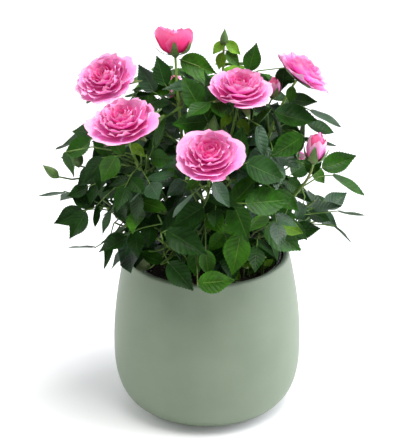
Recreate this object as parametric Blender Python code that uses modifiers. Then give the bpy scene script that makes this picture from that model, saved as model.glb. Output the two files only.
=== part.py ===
"""Potted miniature rose bush: the construction solids, in metres, +Z up.

The origin is the centre of the pot's flat underside.  A turned pot holds a liner pot
filled with soil.  One root crown stands on the soil, canes rise from it, and each cane
carries a mass of twigs and compound leaves, with a bloom or a bud above it.
"""
import math
import random

import bmesh
import bpy
from mathutils import Matrix, Vector
from mathutils.bvhtree import BVHTree

MM = 0.001
GAP = 0.3 * MM

# The turned pot
POT_HEIGHT = 129.2 * MM
POT_RADIUS = 74.0 * MM
POT_BELLY_HEIGHT = 55.0 * MM
POT_FOOT_RADIUS = 43.0 * MM
POT_MOUTH_RADIUS = 64.2 * MM
POT_WALL = 5.0 * MM
POT_FLOOR = 9.0 * MM
POT_LIP_ROUND = 2.5 * MM
POT_SIDES = 32

# The liner pot and its soil
LINER_TOP = 127.0 * MM
LINER_RADIUS = 58.7 * MM
LINER_FOOT_RADIUS = 41.0 * MM
LINER_WALL = 1.4 * MM
LINER_LIP = 1.8 * MM
LINER_SIDES = 24
SOIL_LEVEL = 119.0 * MM
SOIL_EDGE_DROP = 1.5 * MM

# The root crown, which all canes leave
CROWN_RADIUS = 12.0 * MM
CROWN_FLARE = 14.5 * MM

# Canes, twigs and leaf stalks
CANE_RADIUS = 1.75 * MM
STEM_TIP_RADIUS = 1.1 * MM
TWIG_RADIUS = 0.95 * MM
STALK_RADIUS = 0.85 * MM
MASS_START = 0.27
HEAD_START = 0.87
NODE_SPACING = 12.5 * MM
SIDE_TWIGS = (0.46, 0.66)
SIDE_TWIG_LENGTH = 30.0 * MM
MOST_LEAFLETS = 12
AIMED_STALK = 20.0 * MM
AIM_SLIDES = (0, 3, -3, 6, -6, 10, -10, 14, -14, 18, -18, -24)
GOLDEN_ANGLE = math.radians(137.5)

# The leaflets, and where their pairs stand behind the end one, in its lengths
PAIR_START = 0.30
PAIR_SPACING = 0.52
LEAFLET_HALF_WIDTH = 0.31
LEAFLET_FOLD = 0.07
LEAFLET_CURL = 0.10
LEAFLET_THICKNESS = 0.5 * MM
LEAFLET_CLEARANCE = 0.7 * MM

HIP_RADIUS = 3.2 * MM

# Tiers of an open bloom from its heart down, in shares of its radius: reach, height,
# and how deeply the petals' lobes cut it
BLOOM_TIERS = (
    (0.17, 0.66, 0.0),
    (0.21, 0.48, 0.0),
    (0.44, 0.62, 0.10),
    (0.40, 0.42, 0.0),
    (0.74, 0.47, 0.10),
    (0.62, 0.27, 0.0),
    (1.00, 0.27, 0.09),
    (0.50, 0.07, 0.0),
)
BLOOM_PETALS = 5

# The space that the crown fills
CROWN_CENTRE = Vector((0, 0, 196 * MM))
CROWN_REACH = Vector((120 * MM, 110 * MM, 98 * MM))

# name, foot turn and lean (degrees), head place (mm), facing, head kind, head width (mm)
SHOOTS = (
    ("front", -95, 38, (2, -68, 233), (0.00, -0.46, 0.89), "open", 52),
    ("left_front", -146, 38, (-60, -52, 252), (-0.16, -0.25, 0.95), "open", 54),
    ("left_upper", 163, 38, (-74, -10, 272), (-0.30, -0.44, 0.85), "open", 49),
    ("top_left", 180, 14, (-24, 4, 294), (-0.04, 0.36, 0.93), "cup", 27),
    ("top", -90, 14, (24, -24, 268), (0.08, -0.22, 0.97), "open", 49),
    ("right_upper", 8, 38, (71, -8, 279), (0.62, 0.12, 0.78), "open", 50),
    ("right_front", -43, 40, (80, -34, 218), (0.12, -0.06, 0.99), "bud", 17),
    ("top_bud", 0, 14, (13, 15, 298), (0.06, 0.05, 0.99), "green", 7),
    ("back_left", 111, 38, (-58, 66, 198), (-0.42, 0.50, 0.76), "open", 50),
    ("back_right", 60, 40, (56, 70, 186), (0.45, 0.55, 0.70), "open", 52),
    ("back", 90, 62, (16, 76, 222), (0.05, 0.55, 0.83), "cup", 32),
    ("back_bud", 90, 14, (-22, 66, 228), (-0.15, 0.30, 0.94), "bud", 18),
    ("low_left", -168, 62, (-82, -26, 186), (-0.70, -0.25, 0.66), None, 0),
    ("low_right", -14, 62, (84, -12, 178), (0.75, -0.15, 0.64), None, 0),
    ("low_front_left", -120, 62, (-38, -56, 166), (-0.35, -0.65, 0.66), None, 0),
    ("low_front_right", -68, 62, (40, -56, 168), (0.40, -0.62, 0.66), None, 0),
    ("low_back_left", 142, 62, (-62, 50, 168), (-0.60, 0.48, 0.64), None, 0),
    ("low_back_right", 36, 62, (66, 40, 168), (0.60, 0.45, 0.64), None, 0),
)

# shoot, place along it, bud's foot (mm), facing, bud kind, bud width (mm)
TWIGS = (
    ("left_upper", 0.62, (-98, -12, 206), (-0.15, 0.00, 0.99), "green", 10),
    ("left_upper", 0.50, (-114, -19, 200), (-0.75, 0.00, 0.66), "green", 8),
    ("top", 0.60, (4, -36, 241), (0.10, 0.00, 0.99), "green", 9),
    ("top", 0.66, (50, 4, 256), (0.10, 0.00, 0.99), "bud", 11),
)

# Leaves that make the outline and the front: tip and foot of the end leaflet (mm), face,
# leaflets
AIMED_LEAVES = (
    ((-105, -42, 158), (-92, -38, 180), (-0.46, -0.81, 0.36), 3),
    ((-118, -28, 165), (-95, -28, 176), (0.10, -0.75, 0.65), 1),
    ((-129, -20, 186), (-108, -20, 188), (-0.10, 0.30, 0.95), 3),
    ((-84, -36, 165), (-83, -34, 183), (0.86, -0.45, 0.25), 1),
    ((-74, -58, 139), (-73, -56, 166), (0.88, -0.45, 0.12), 1),
    ((-67, -62, 145), (-59, -56, 170), (-0.79, -0.61, 0.12), 1),
    ((-107, -30, 148), (-85, -30, 146), (0.00, 0.35, 0.94), 1),
    ((-82, -48, 158), (-69, -48, 167), (0.31, 0.10, 0.95), 1),
    ((-112, -22, 217), (-88, -22, 231), (-0.20, -0.55, 0.81), 3),
    ((-102, -22, 199), (-106, -24, 222), (-0.76, -0.61, 0.20), 1),
    ((-79, -58, 211), (-67, -58, 233), (0.10, -0.91, 0.40), 3),
    ((-92, -44, 205), (-77, -44, 226), (0.00, -0.86, 0.51), 3),
    ((1, -84, 166), (-30, -74, 180), (0.00, -0.80, 0.60), 3),
    ((-10, -82, 134), (-29, -70, 152), (-0.10, -0.86, 0.50), 1),
    ((21, -80, 142), (-7, -80, 139), (0.10, -0.91, 0.40), 1),
    ((2, -72, 140), (-1, -66, 160), (0.15, -0.90, 0.40), 1),
    ((18, -78, 144), (25, -68, 175), (-0.20, -0.91, 0.35), 3),
    ((-8, -70, 138), (-10, -62, 157), (-0.30, -0.90, 0.30), 1),
    ((-60, -48, 145), (-43, -50, 138), (0.10, -0.60, 0.80), 1),
    ((-53, -52, 153), (-33, -56, 146), (0.10, -0.40, 0.91), 1),
    ((17, -82, 202), (5, -78, 221), (0.61, -0.71, 0.35), 1),
    ((-27, -76, 193), (-11, -74, 209), (0.30, 0.35, 0.89), 1),
    ((-27, -76, 184), (-2, -72, 199), (-0.10, -0.75, 0.65), 3),
    ((74, -56, 155), (44, -58, 176), (0.10, -0.80, 0.60), 1),
    ((64, -66, 203), (28, -70, 200), (0.05, -0.80, 0.60), 3),
    ((73, -46, 165), (56, -48, 173), (0.20, -0.78, 0.59), 1),
    ((122, -26, 190), (95, -28, 205), (0.10, -0.10, 0.99), 1),
    ((113, -24, 220), (87, -28, 211), (0.00, -0.76, 0.65), 3),
    ((103, -14, 241), (78, -14, 252), (0.10, -0.05, 0.99), 1),
    ((85, 6, 252), (63, 6, 254), (0.00, -0.54, 0.84), 1),
    ((83, -22, 248), (51, -22, 254), (0.00, -0.65, 0.76), 3),
    ((103, -20, 179), (81, -20, 174), (0.00, -0.20, 0.98), 1),
    ((96, -20, 164), (78, -20, 171), (0.00, -0.71, 0.71), 1),
    ((68, -40, 171), (73, -38, 186), (0.30, -0.86, 0.41), 1),
    ((122, -16, 168), (101, -16, 170), (0.02, 0.42, 0.91), 1),
    ((114, -16, 144), (98, -16, 158), (0.46, 0.36, 0.81), 1),
    ((69, -46, 178), (47, -48, 183), (0.10, -0.80, 0.60), 1),
    ((61, -60, 215), (29, -64, 230), (0.00, -0.76, 0.65), 3),
    ((44, -48, 228), (38, -44, 252), (0.76, -0.61, 0.20), 1),
    ((46, -40, 225), (71, -36, 240), (0.00, -0.71, 0.71), 3),
    ((8, 4, 276), (-20, 4, 286), (0.00, -0.86, 0.51), 1),
    ((-37, -12, 295), (-31, -14, 272), (0.20, -0.84, 0.50), 1),
    ((-52, 2, 283), (-40, -2, 262), (-0.30, -0.81, 0.51), 1),
    ((-34, -16, 270), (-7, -16, 275), (0.00, -0.15, 0.99), 1),
    ((38, 22, 293), (32, 20, 271), (0.10, -0.93, 0.36), 1),
    ((49, 16, 264), (31, 16, 270), (0.00, -0.45, 0.89), 1),
    ((56, 14, 256), (59, 14, 276), (-0.20, -0.91, 0.35), 1),
    ((-99, -26, 195), (-84, -28, 211), (-0.10, -0.82, 0.56), 3),
    ((-107, -24, 186), (-90, -24, 194), (0.00, -0.60, 0.80), 3),
    ((91, -26, 197), (81, -28, 211), (0.00, -0.71, 0.71), 1),
)

# Places seen through from the front, a little above: x from and to, and level from and
# to (mm), a point's level being its height less its share of the slope
OPENINGS = (
    (24, 62, 98, 121),
    (42, 62, 121, 130),
    (-66, -30, 95, 120),
    (-106, -76, 129, 162),
    (-84, -70, 117, 146),
    (64, 104, 104, 131),
    (76, 135, 112, 151),
    (103, 135, 115, 178),
    (70, 135, 173, 188),
    (74, 96, 173, 196),
    (-120, -97, 228, 260),
    (-107, -101, 201, 211),
    (-112, -97, 176, 186),
)
OPENING_SLOPE = 0.449


# ---------------------------------------------------------------- growth

def direction(turn, lean):
    """A unit vector leaning from +Z toward the compass turn, in degrees."""
    a, b = math.radians(turn), math.radians(lean)
    return Vector((math.cos(a) * math.sin(b), math.sin(a) * math.sin(b), math.cos(b)))


def place(mm):
    return Vector(mm) * MM


def bend(a, b, c, d, count):
    """Points of a cubic curve with end points a and d and handles b and c."""
    points = []
    for i in range(count):
        t = i / (count - 1)
        s = 1 - t
        points.append(a * s**3 + b * 3 * s * s * t + c * 3 * s * t * t + d * t**3)
    return points


def reach(points):
    return sum((b - a).length for a, b in zip(points, points[1:]))


def at(points, distance):
    """The place at a distance along the points, and the heading there."""
    for a, b in zip(points, points[1:]):
        step = (b - a).length
        if distance <= step:
            break
        distance -= step
    heading = (b - a).normalized()
    return a + heading * distance, heading


def stretch(points, start, end, count):
    """count points, evenly spaced from one distance along the points to another."""
    return [at(points, start + (end - start) * i / (count - 1))[0] for i in range(count)]


def shoot_path(foot_turn, foot_lean, head, facing):
    """The curve of a shoot from the root crown to the foot of its head."""
    out = direction(foot_turn, foot_lean)
    foot = Vector((0, 0, SOIL_LEVEL)) + out * (CROWN_RADIUS + GAP)
    span = (head - foot).length
    return bend(foot, foot + out * span * 0.35, head - facing * span * 0.30, head, 40)


def frame_matrix(origin, heading, face, scale=1.0):
    """A matrix whose +X is the heading and whose +Z is as near the face as it can be."""
    x = heading.normalized()
    y = face.cross(x).normalized()
    z = x.cross(y)
    turn = Matrix((x * scale, y * scale, z * scale)).transposed().to_4x4()
    return Matrix.Translation(origin) @ turn


class Clearance:
    """The surfaces that have been placed, each with the limb that it belongs to."""

    def __init__(self):
        self.things = []

    def add(self, owner, points, faces):
        centre = sum(points, Vector()) / len(points)
        radius = max((p - centre).length for p in points)
        tree = BVHTree.FromPolygons(points, faces)
        self.things.append((owner, centre, radius, tree))

    def is_free(self, points, faces, owners=()):
        centre = sum(points, Vector()) / len(points)
        radius = max((p - centre).length for p in points)
        tree = None
        for owner, other, size, surface in self.things:
            if owner in owners or (centre - other).length > radius + size:
                continue
            tree = tree or BVHTree.FromPolygons(points, faces)
            if tree.overlap(surface):
                return False
        return True


def guard_tube(points, radius):
    """A five-sided tube round the points, for the clearance test."""
    corners, faces = [], []
    sides = 5
    for i, p in enumerate(points):
        heading = (points[min(i + 1, len(points) - 1)] - points[max(i - 1, 0)]).normalized()
        side = heading.orthogonal().normalized()
        other = heading.cross(side)
        for k in range(sides):
            a = math.tau * k / sides
            corners.append(p + (side * math.cos(a) + other * math.sin(a)) * radius)
    for i in range(len(points) - 1):
        for k in range(sides):
            n = (k + 1) % sides
            faces.append((i * sides + k, i * sides + n, i * sides + sides + n))
            faces.append((i * sides + k, i * sides + sides + n, i * sides + sides + k))
    return corners, faces


def guard_leaflet(matrix):
    """A slightly larger lens round a leaflet, for the clearance test."""
    length = matrix.to_scale().x
    thick = LEAFLET_CLEARANCE / length
    shape = [(0.02, 0), (0.22, 0.9), (0.66, 0.93), (1.03, 0), (0.66, -0.93), (0.22, -0.9)]
    ring = [(x, y * LEAFLET_HALF_WIDTH * 1.04, -LEAFLET_CURL * x * x) for x, y in shape]
    middle = [(0.42, 0, -LEAFLET_FOLD + thick), (0.42, 0, -LEAFLET_FOLD - thick)]
    corners = [matrix @ Vector(p) for p in ring + middle]
    faces = []
    for k in range(6):
        n = (k + 1) % 6
        faces.append((k, n, 6))
        faces.append((n, k, 7))
    return corners, faces


def guard_head(matrix, kind, width):
    """A hull round a bloom or a bud, with a floor at each level, for the clearance test."""
    r = width / 2
    if kind == "open":
        outline = [(3.5 * MM, -3 * MM), (r * 0.60, -0.5 * MM), (r * 1.10, r * 0.18),
                   (r * 1.10, r * 0.42), (r * 0.80, r * 0.66), (r * 0.4, r * 0.78)]
    else:
        tall = head_height(kind, width)
        outline = [(2.0 * MM, -1 * MM), (r * 1.2, tall * 0.3), (r * 1.3, tall * 0.7),
                   (r * 0.9, tall * 1.04)]
    corners, faces = [], []
    sides = 10
    for radius, height in outline:
        for k in range(sides):
            a = math.tau * k / sides
            corners.append(
                matrix @ Vector((height, radius * math.cos(a), radius * math.sin(a))))
    for i in range(len(outline) - 1):
        for k in range(sides):
            n = (k + 1) % sides
            faces.append((i * sides + k, i * sides + n, i * sides + sides + n))
            faces.append((i * sides + k, i * sides + sides + n, i * sides + sides + k))
    for i in range(len(outline)):
        faces.append(tuple(range(i * sides, i * sides + sides)))
    return corners, faces


def head_height(kind, width):
    """How tall a cup, bud or green bud stands above the foot of its hip."""
    return {"cup": 0.74, "bud": 1.45, "green": 1.8, "open": 0.42}[kind] * width


def in_crown(points, loose=1.0):
    """Whether the points keep to the crown's space, clear of the pot and the soil."""
    for p in points:
        away = math.hypot(p.x, p.y)
        if away < 55 * MM and p.z < SOIL_LEVEL + 5 * MM:
            return False
        if 55 * MM <= away < 72 * MM and p.z < POT_HEIGHT + 2 * MM:
            return False
        if away >= 72 * MM and p.z < POT_HEIGHT - 4 * MM:
            return False
        q = p - CROWN_CENTRE
        size = Vector((q[i] / (CROWN_REACH[i] * loose) for i in range(3))).length
        if size > 1:
            return False
    return True


def compound_leaf(base, heading, tip, face, length, count, chance, heel=None):
    """A leaf's stalk and the places of its leaflets, with the end one's tip at tip."""
    span = (tip - base).length
    end_way = (tip - heel if heel else tip - base - heading * span * 0.30).normalized()
    end = tip - end_way * length
    stalk = bend(base, base + heading * span * 0.25, end - end_way * span * 0.15, end, 3)
    total = reach(stalk)
    leaflets = [(frame_matrix(end - end_way * STALK_RADIUS * 0.25, end_way, face, length), None)]
    pairs = (count - 1) // 2
    for pair in range(pairs):
        spot = total - length * (PAIR_START + PAIR_SPACING * pair)
        if spot < 4 * MM:
            break
        root, way = at(stalk, spot)
        size = length * (0.88 - 0.12 * pair)
        for side in (1, -1):
            splay = side * math.radians(66 + chance.uniform(-6, 6))
            flat = frame_matrix(root, way, face)
            turned = flat @ Matrix.Rotation(splay, 4, "Z")
            droop = Matrix.Rotation(math.radians(chance.uniform(2, 22)), 4, "Y")
            roll = Matrix.Rotation(math.radians(chance.uniform(-14, 14)), 4, "X")
            leaflets.append((turned @ droop @ roll @ Matrix.Scale(size, 4), side))
    return stalk, leaflets


def is_open(points):
    """Whether the middle of the points is in a place that is kept open."""
    middle = sum(points, Vector()) / (len(points) * MM)
    level = middle.z + middle.y * OPENING_SLOPE
    return any(a < middle.x < b and low < level < high for a, b, low, high in OPENINGS)


def attachments(shoots, tip, heel):
    """Places on the stems that could carry an end leaflet, the best placed first."""
    places = []
    for name, (path, total, mass, kind, width) in shoots.items():
        for step in range(1, 24):
            share = MASS_START + (HEAD_START - 0.04 - MASS_START) * step / 23
            base = at(path, share * total)[0]
            gap = heel - base
            turn = 1 - gap.normalized().dot((tip - heel).normalized())
            places.append((abs(gap.length - AIMED_STALK) + turn * AIMED_STALK * 0.5, name, share))
    return sorted(places)


class Mass:
    """One stem of twigs and compound leaves, as its limbs and leaflets are placed."""

    def __init__(self, name):
        self.name = name
        self.stem = None
        self.twigs = []
        self.stalks = []
        self.leaflets = []
        self.buds = []


def try_leaf(mass, space, limb, leaf, loose, least, aimed=False):
    """Adds a leaf with every leaflet that is clear, or leaves it out."""
    stalk, leaflets = leaf
    outer = [at(stalk, 1.2 * MM)[0]] + stalk[1:]
    tube = guard_tube(outer, STALK_RADIUS + LEAFLET_CLEARANCE)
    if not in_crown(stalk, loose) or not space.is_free(*tube, (limb,)):
        return False
    kept = []
    own = Clearance()
    for matrix, side in leaflets:
        guard = guard_leaflet(matrix)
        room = (aimed and side is None) or not is_open(guard[0])
        if room and in_crown(guard[0], loose) and space.is_free(*guard) and own.is_free(*guard):
            kept.append((matrix, side, guard))
            own.add(side, *guard)
        elif side is None:
            return False
    if len(kept) < least:
        return False
    owner = ("stalk", len(space.things))
    space.add(owner, *tube)
    for matrix, side, guard in kept:
        space.add(owner, *guard)
        mass.leaflets.append(matrix)
    mass.stalks.append(stalk)
    return True


def outward(base):
    """The way out of the crown from a place in it."""
    away = Vector((base.x, base.y, (base.z - CROWN_CENTRE.z) * 0.6))
    return away.normalized() if away.length > 8 * MM else Vector((0, 0, 1))


def free_leaf(mass, space, limb, base, way, turn, length, count, chance):
    """Tries a leaf at a node of a limb, in up to thirty attitudes, smaller as they fail."""
    for attempt in range(30):
        side = way.orthogonal().normalized()
        side.rotate(Matrix.Rotation(turn + chance.uniform(-0.7, 0.7) * (attempt > 0), 3, way))
        away = outward(base)
        heading = (side + away * 0.65 + way * 0.45).normalized()
        if heading.dot(away) < -0.35:
            turn += 0.9
            continue
        size = length * (1 - 0.012 * attempt)
        count = count if attempt < 12 else 3
        span = size * (1 + PAIR_START + PAIR_SPACING * (count - 3) / 2 + chance.uniform(0.15, 0.4))
        sag = Vector((0, 0, -1)) * chance.uniform(0.0, 0.75)
        tip = base + (heading + sag).normalized() * span
        wobble = Vector([chance.uniform(-0.35, 0.35) for _ in range(3)])
        face = (Vector((0, 0, 0.75)) + away * 0.55 + wobble).normalized()
        leaf = compound_leaf(base, heading, tip, face, size, count, chance)
        if try_leaf(mass, space, limb, leaf, 1.0, 3 if attempt < 20 else 2):
            return True
    return False


def free_twig(mass, space, limb, base, way, turn, chance):
    """Tries a side twig at a place on a stem, and gives it back where it has room."""
    for attempt in range(10):
        side = way.orthogonal().normalized()
        side.rotate(Matrix.Rotation(turn + 0.7 * attempt, 3, way))
        out = (side * 0.8 + outward(base) * 0.6 + way * 0.5).normalized()
        length = SIDE_TWIG_LENGTH * chance.uniform(0.8, 1.3)
        tip = base + (out + Vector((0, 0, 0.35))).normalized() * length
        twig = bend(base, base + out * length * 0.4, tip - way * length * 0.2, tip, 4)
        tube = guard_tube([at(twig, 1.2 * MM)[0]] + twig[1:], TWIG_RADIUS + 0.7 * MM)
        if in_crown(twig, 0.85) and space.is_free(*tube, (limb,)):
            mass.twigs.append(twig)
            owner = "%s_twig%d" % (mass.name, len(mass.twigs))
            space.add(owner, *tube)
            return owner, twig
    return None


def aim_leaf(shoots, space, tip, heel, face, count, chance):
    """A leaf whose end leaflet runs from heel to tip, on the stem that carries it best.

    Where it has no room it slides nearer or further, along the slope of the openings."""
    for slide in AIM_SLIDES:
        shift = Vector((0, -1, OPENING_SLOPE)) * slide * MM
        for rank, name, share in attachments(shoots, tip + shift, heel + shift)[:40]:
            path, total, mass = shoots[name][:3]
            base, way = at(path, share * total)
            heading = ((heel + shift - base).normalized() + way * 0.5).normalized()
            leaf = compound_leaf(base, heading, tip + shift, face, (tip - heel).length,
                                 count, chance, heel + shift)
            if try_leaf(mass, space, name, leaf, 1.25, 1, True):
                return
    print("aimed leaf with its tip at", tip, "has no room")


def grow():
    """Every shoot's cane, mass and head, each clear of all the others."""
    space = Clearance()
    shoots = {}
    for name, turn, lean, head, facing, kind, width in SHOOTS:
        path = shoot_path(turn, lean, place(head), Vector(facing).normalized())
        total = reach(path)
        last = HEAD_START * total if kind else total
        mass = Mass(name)
        mass.stem = stretch(path, MASS_START * total + GAP, last - GAP / 2, 6)
        shoots[name] = (path, total, mass, kind, width * MM)
        limb = stretch(path, 0, last, 12)
        space.add(name, *guard_tube(limb, CANE_RADIUS + 0.6 * MM))
        if kind:
            tip, way = at(path, total)
            spot = frame_matrix(tip, way, way.orthogonal())
            stalk = stretch(path, last - 2 * MM, total, 5)
            space.add(name + "_head", *guard_tube(stalk, STEM_TIP_RADIUS + 0.6 * MM))
            space.add(name + "_head", *guard_head(spot, kind, width * MM))
    nodes = []
    for name, share, tip, facing, kind, width in TWIGS:
        path, total, mass = shoots[name][:3]
        base, way = at(path, share * total)
        tip, facing = place(tip), Vector(facing)
        span = (tip - base).length
        out = (tip - base).normalized() * 0.7 + way * 0.3
        twig = bend(base, base + out * span * 0.35, tip - facing * span * 0.25, tip, 5)
        mass.twigs.append(twig)
        owner = "%s_twig%d" % (name, len(mass.twigs))
        tube = guard_tube([at(twig, 1.2 * MM)[0]] + twig[1:], TWIG_RADIUS + 0.7 * MM)
        spot = frame_matrix(tip, facing, Vector((0, 1, 0)))
        head = guard_head(spot, kind, width * MM)
        if not space.is_free(*tube, (name,)) or not space.is_free(*head):
            print("bud twig of", name, "at", tip, "has no room")
        mass.buds.append((spot, kind, width * MM))
        space.add(owner, *tube)
        space.add(owner, *head)
        nodes.append((-1.0, len(nodes), mass, owner, twig, 0.5 * reach(twig), 1.0))
    for i, (tip, heel, face, count) in enumerate(AIMED_LEAVES):
        aim_leaf(shoots, space, place(tip), place(heel), Vector(face), count, random.Random(100 + i))
    for order, (name, (path, total, mass, kind, width)) in enumerate(shoots.items()):
        chance = random.Random(order)
        last = HEAD_START * total - 4 * MM if kind else total - 2 * MM
        for count, share in enumerate(SIDE_TWIGS):
            base, way = at(path, share * total)
            turn = order + (count + 0.5) * GOLDEN_ANGLE
            grown = free_twig(mass, space, name, base, way, turn, chance)
            if grown:
                owner, twig = grown
                for k, part in enumerate((0.45, 0.72, 0.97)):
                    rank = 0.5 * chance.random() - share
                    spot = part * reach(twig)
                    nodes.append((rank, len(nodes), mass, owner, twig, spot, k * GOLDEN_ANGLE))
        spot = MASS_START * total + 7 * MM
        count = 0
        while spot < last:
            rank = 0.5 * chance.random() - spot / total
            turn = order + count * GOLDEN_ANGLE
            nodes.append((rank, len(nodes), mass, name, path, spot, turn))
            spot += NODE_SPACING * chance.uniform(0.85, 1.15)
            count += 1
    chance = random.Random(7)
    placed = 0
    for rank, order, mass, limb, path, spot, turn in sorted(nodes, key=lambda n: n[:2]):
        if len(mass.leaflets) >= MOST_LEAFLETS:
            continue
        base, way = at(path, spot)
        length = chance.uniform(27, 37) * MM * (0.9 if "_twig" in limb else 1.0)
        number = chance.choice((3, 5, 5, 5))
        placed += free_leaf(mass, space, limb, base, way, turn, length, number, chance)
    print("leaf nodes", len(nodes), "filled", placed,
          "leaflets", sum(len(s[2].leaflets) for s in shoots.values()))
    return shoots


# ---------------------------------------------------------------- modelling tools

def clear_scene():
    for item in list(bpy.data.objects):
        bpy.data.objects.remove(item, do_unlink=True)


def collection(name):
    group = bpy.data.collections.new(name)
    bpy.context.scene.collection.children.link(group)
    return group


def material(name, colour, roughness, metallic=0.0):
    paint = bpy.data.materials.new(name)
    paint.use_nodes = True
    shader = paint.node_tree.nodes["Principled BSDF"]
    shader.inputs["Base Color"].default_value = (*colour, 1.0)
    shader.inputs["Roughness"].default_value = roughness
    shader.inputs["Metallic"].default_value = metallic
    return paint


def turned(name, group, profile, sides, paint):
    """A turned piece: a profile in (radius, height), run from the top down its outside."""
    mesh = bpy.data.meshes.new(name)
    points = [(r, 0, z) for r, z in profile]
    edges = [(i, i + 1) for i in range(len(points) - 1)]
    mesh.from_pydata(points, edges, [])
    mesh.materials.append(paint)
    piece = bpy.data.objects.new(name, mesh)
    group.objects.link(piece)
    screw = piece.modifiers.new("turn", "SCREW")
    screw.steps = sides
    screw.render_steps = sides
    screw.use_merge_vertices = True
    screw.merge_threshold = 0.00005
    screw.use_smooth_shade = True
    return piece


def solid_copy(source, name, group):
    """A mesh object made from another's evaluated shape, with its loose caps welded."""
    bpy.context.view_layer.update()
    seen = source.evaluated_get(bpy.context.evaluated_depsgraph_get())
    mesh = bpy.data.meshes.new_from_object(seen)
    mesh.name = name
    bm = bmesh.new()
    bm.from_mesh(mesh)
    bmesh.ops.remove_doubles(bm, verts=bm.verts, dist=0.000001)
    bmesh.ops.recalc_face_normals(bm, faces=bm.faces)
    bm.to_mesh(mesh)
    bm.free()
    piece = bpy.data.objects.new(name, mesh)
    piece.matrix_world = source.matrix_world
    group.objects.link(piece)
    return piece


def outline_curve(name, group, sides, radius):
    """A closed outline of a few straight sides, which a limb is drawn with."""
    curve = bpy.data.curves.new(name, "CURVE")
    line = curve.splines.new("POLY")
    line.points.add(sides - 1)
    for k in range(sides):
        a = math.tau * k / sides
        line.points[k].co = (radius * math.cos(a), radius * math.sin(a), 0, 1)
    line.use_cyclic_u = True
    outline = bpy.data.objects.new(name, curve)
    group.objects.link(outline)
    return outline


def tube(name, group, points, start_radius, end_radius, paint, sides=5):
    """A tapering limb along the points, as a closed mesh."""
    outline = outline_curve(name + "_outline", group, sides, start_radius)
    curve = bpy.data.curves.new(name, "CURVE")
    curve.dimensions = "3D"
    curve.bevel_mode = "OBJECT"
    curve.bevel_object = outline
    curve.use_fill_caps = True
    curve.materials.append(paint)
    line = curve.splines.new("POLY")
    line.points.add(len(points) - 1)
    for i, p in enumerate(points):
        line.points[i].co = (*p, 1)
        share = i / (len(points) - 1)
        line.points[i].radius = 1 + (end_radius / start_radius - 1) * share
    wire = bpy.data.objects.new(name + "_line", curve)
    group.objects.link(wire)
    piece = solid_copy(wire, name, group)
    for item in (wire, outline):
        bpy.data.curves.remove(item.data)
    return piece


def lens_mesh(name, sides, shape, paint):
    """A thin closed blade of 2 x sides faces: shape places each corner of a flat ball."""
    bm = bmesh.new()
    bmesh.ops.create_uvsphere(bm, u_segments=sides, v_segments=2, radius=1)
    for corner in bm.verts:
        corner.co = shape(corner.co.y, -corner.co.x, corner.co.z)
    mesh = bpy.data.meshes.new(name)
    bm.to_mesh(mesh)
    bm.free()
    mesh.materials.append(paint)
    return mesh


def leaflet_shape(along, across, up):
    """Root at x = 0, tip at x = 1, folded down along its middle."""
    half = 0.5 * LEAFLET_THICKNESS / (27 * MM)
    if abs(up) > 0.5:
        return 0.42, 0.0, -LEAFLET_FOLD + math.copysign(half, up)
    x = 0.5 + 0.5 * along
    x = 0.22 if 0.1 < x < 0.4 else 0.66 if 0.6 < x < 0.9 else x
    width = math.copysign(LEAFLET_HALF_WIDTH * 0.9, across) if abs(across) > 0.1 else 0.0
    return x, width, -LEAFLET_CURL * x * x


def sepal_shape(along, across, up):
    """A narrow pointed blade."""
    if abs(up) > 0.5:
        return 0.35, 0.0, math.copysign(0.05, up)
    return 0.5 + 0.5 * along, across * 0.16, 0.0


def add_blade(name, group, mesh, matrix):
    blade = bpy.data.objects.new(name, mesh)
    blade.matrix_world = matrix
    group.objects.link(blade)
    return blade


def islands(bm):
    """The separate shells of a mesh, each as its faces."""
    left = set(bm.faces)
    shells = []
    while left:
        shell, edge = [], [left.pop()]
        while edge:
            face = edge.pop()
            shell.append(face)
            for line in face.edges:
                for other in line.link_faces:
                    if other in left:
                        left.discard(other)
                        edge.append(other)
        shells.append(shell)
    return shells


def shell_volume(shell):
    volume = 0.0
    for face in shell:
        first = face.verts[0].co
        for a, b in zip(face.verts[1:], face.verts[2:]):
            volume += first.dot(a.co.cross(b.co)) / 6
    return volume


def fuse(name, base, pieces, group, paint):
    """One closed body of the base and every piece, in place of them all."""
    join = base.modifiers.new("join", "BOOLEAN")
    join.operation = "UNION"
    join.operand_type = "COLLECTION"
    join.collection = pieces
    join.solver = "MANIFOLD"
    whole = solid_copy(base, name, group)
    whole.data.materials.clear()
    whole.data.materials.append(paint)
    bm = bmesh.new()
    bm.from_mesh(whole.data)
    shells = islands(bm)
    main = max(shells, key=shell_volume)
    scraps = [face for shell in shells if shell is not main for face in shell]
    if scraps:
        print(name, "dropped", len(shells) - 1, "loose shells")
    bmesh.ops.delete(bm, geom=scraps, context="FACES")
    bm.to_mesh(whole.data)
    bm.free()
    for item in list(pieces.objects):
        bpy.data.objects.remove(item, do_unlink=True)
    bpy.data.collections.remove(pieces)
    bpy.data.objects.remove(base, do_unlink=True)
    return whole


# ---------------------------------------------------------------- the pot

def pot_radius(height):
    """The pot's outer radius at a height."""
    if height <= POT_BELLY_HEIGHT:
        t = height / POT_BELLY_HEIGHT
        rise = (1 - (1 - t) ** 2.91) ** (1 / 2.26)
        return POT_FOOT_RADIUS + (POT_RADIUS - POT_FOOT_RADIUS) * rise
    t = (height - POT_BELLY_HEIGHT) / (POT_HEIGHT - POT_BELLY_HEIGHT)
    return POT_RADIUS - (POT_RADIUS - POT_MOUTH_RADIUS) * t**1.8


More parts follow.
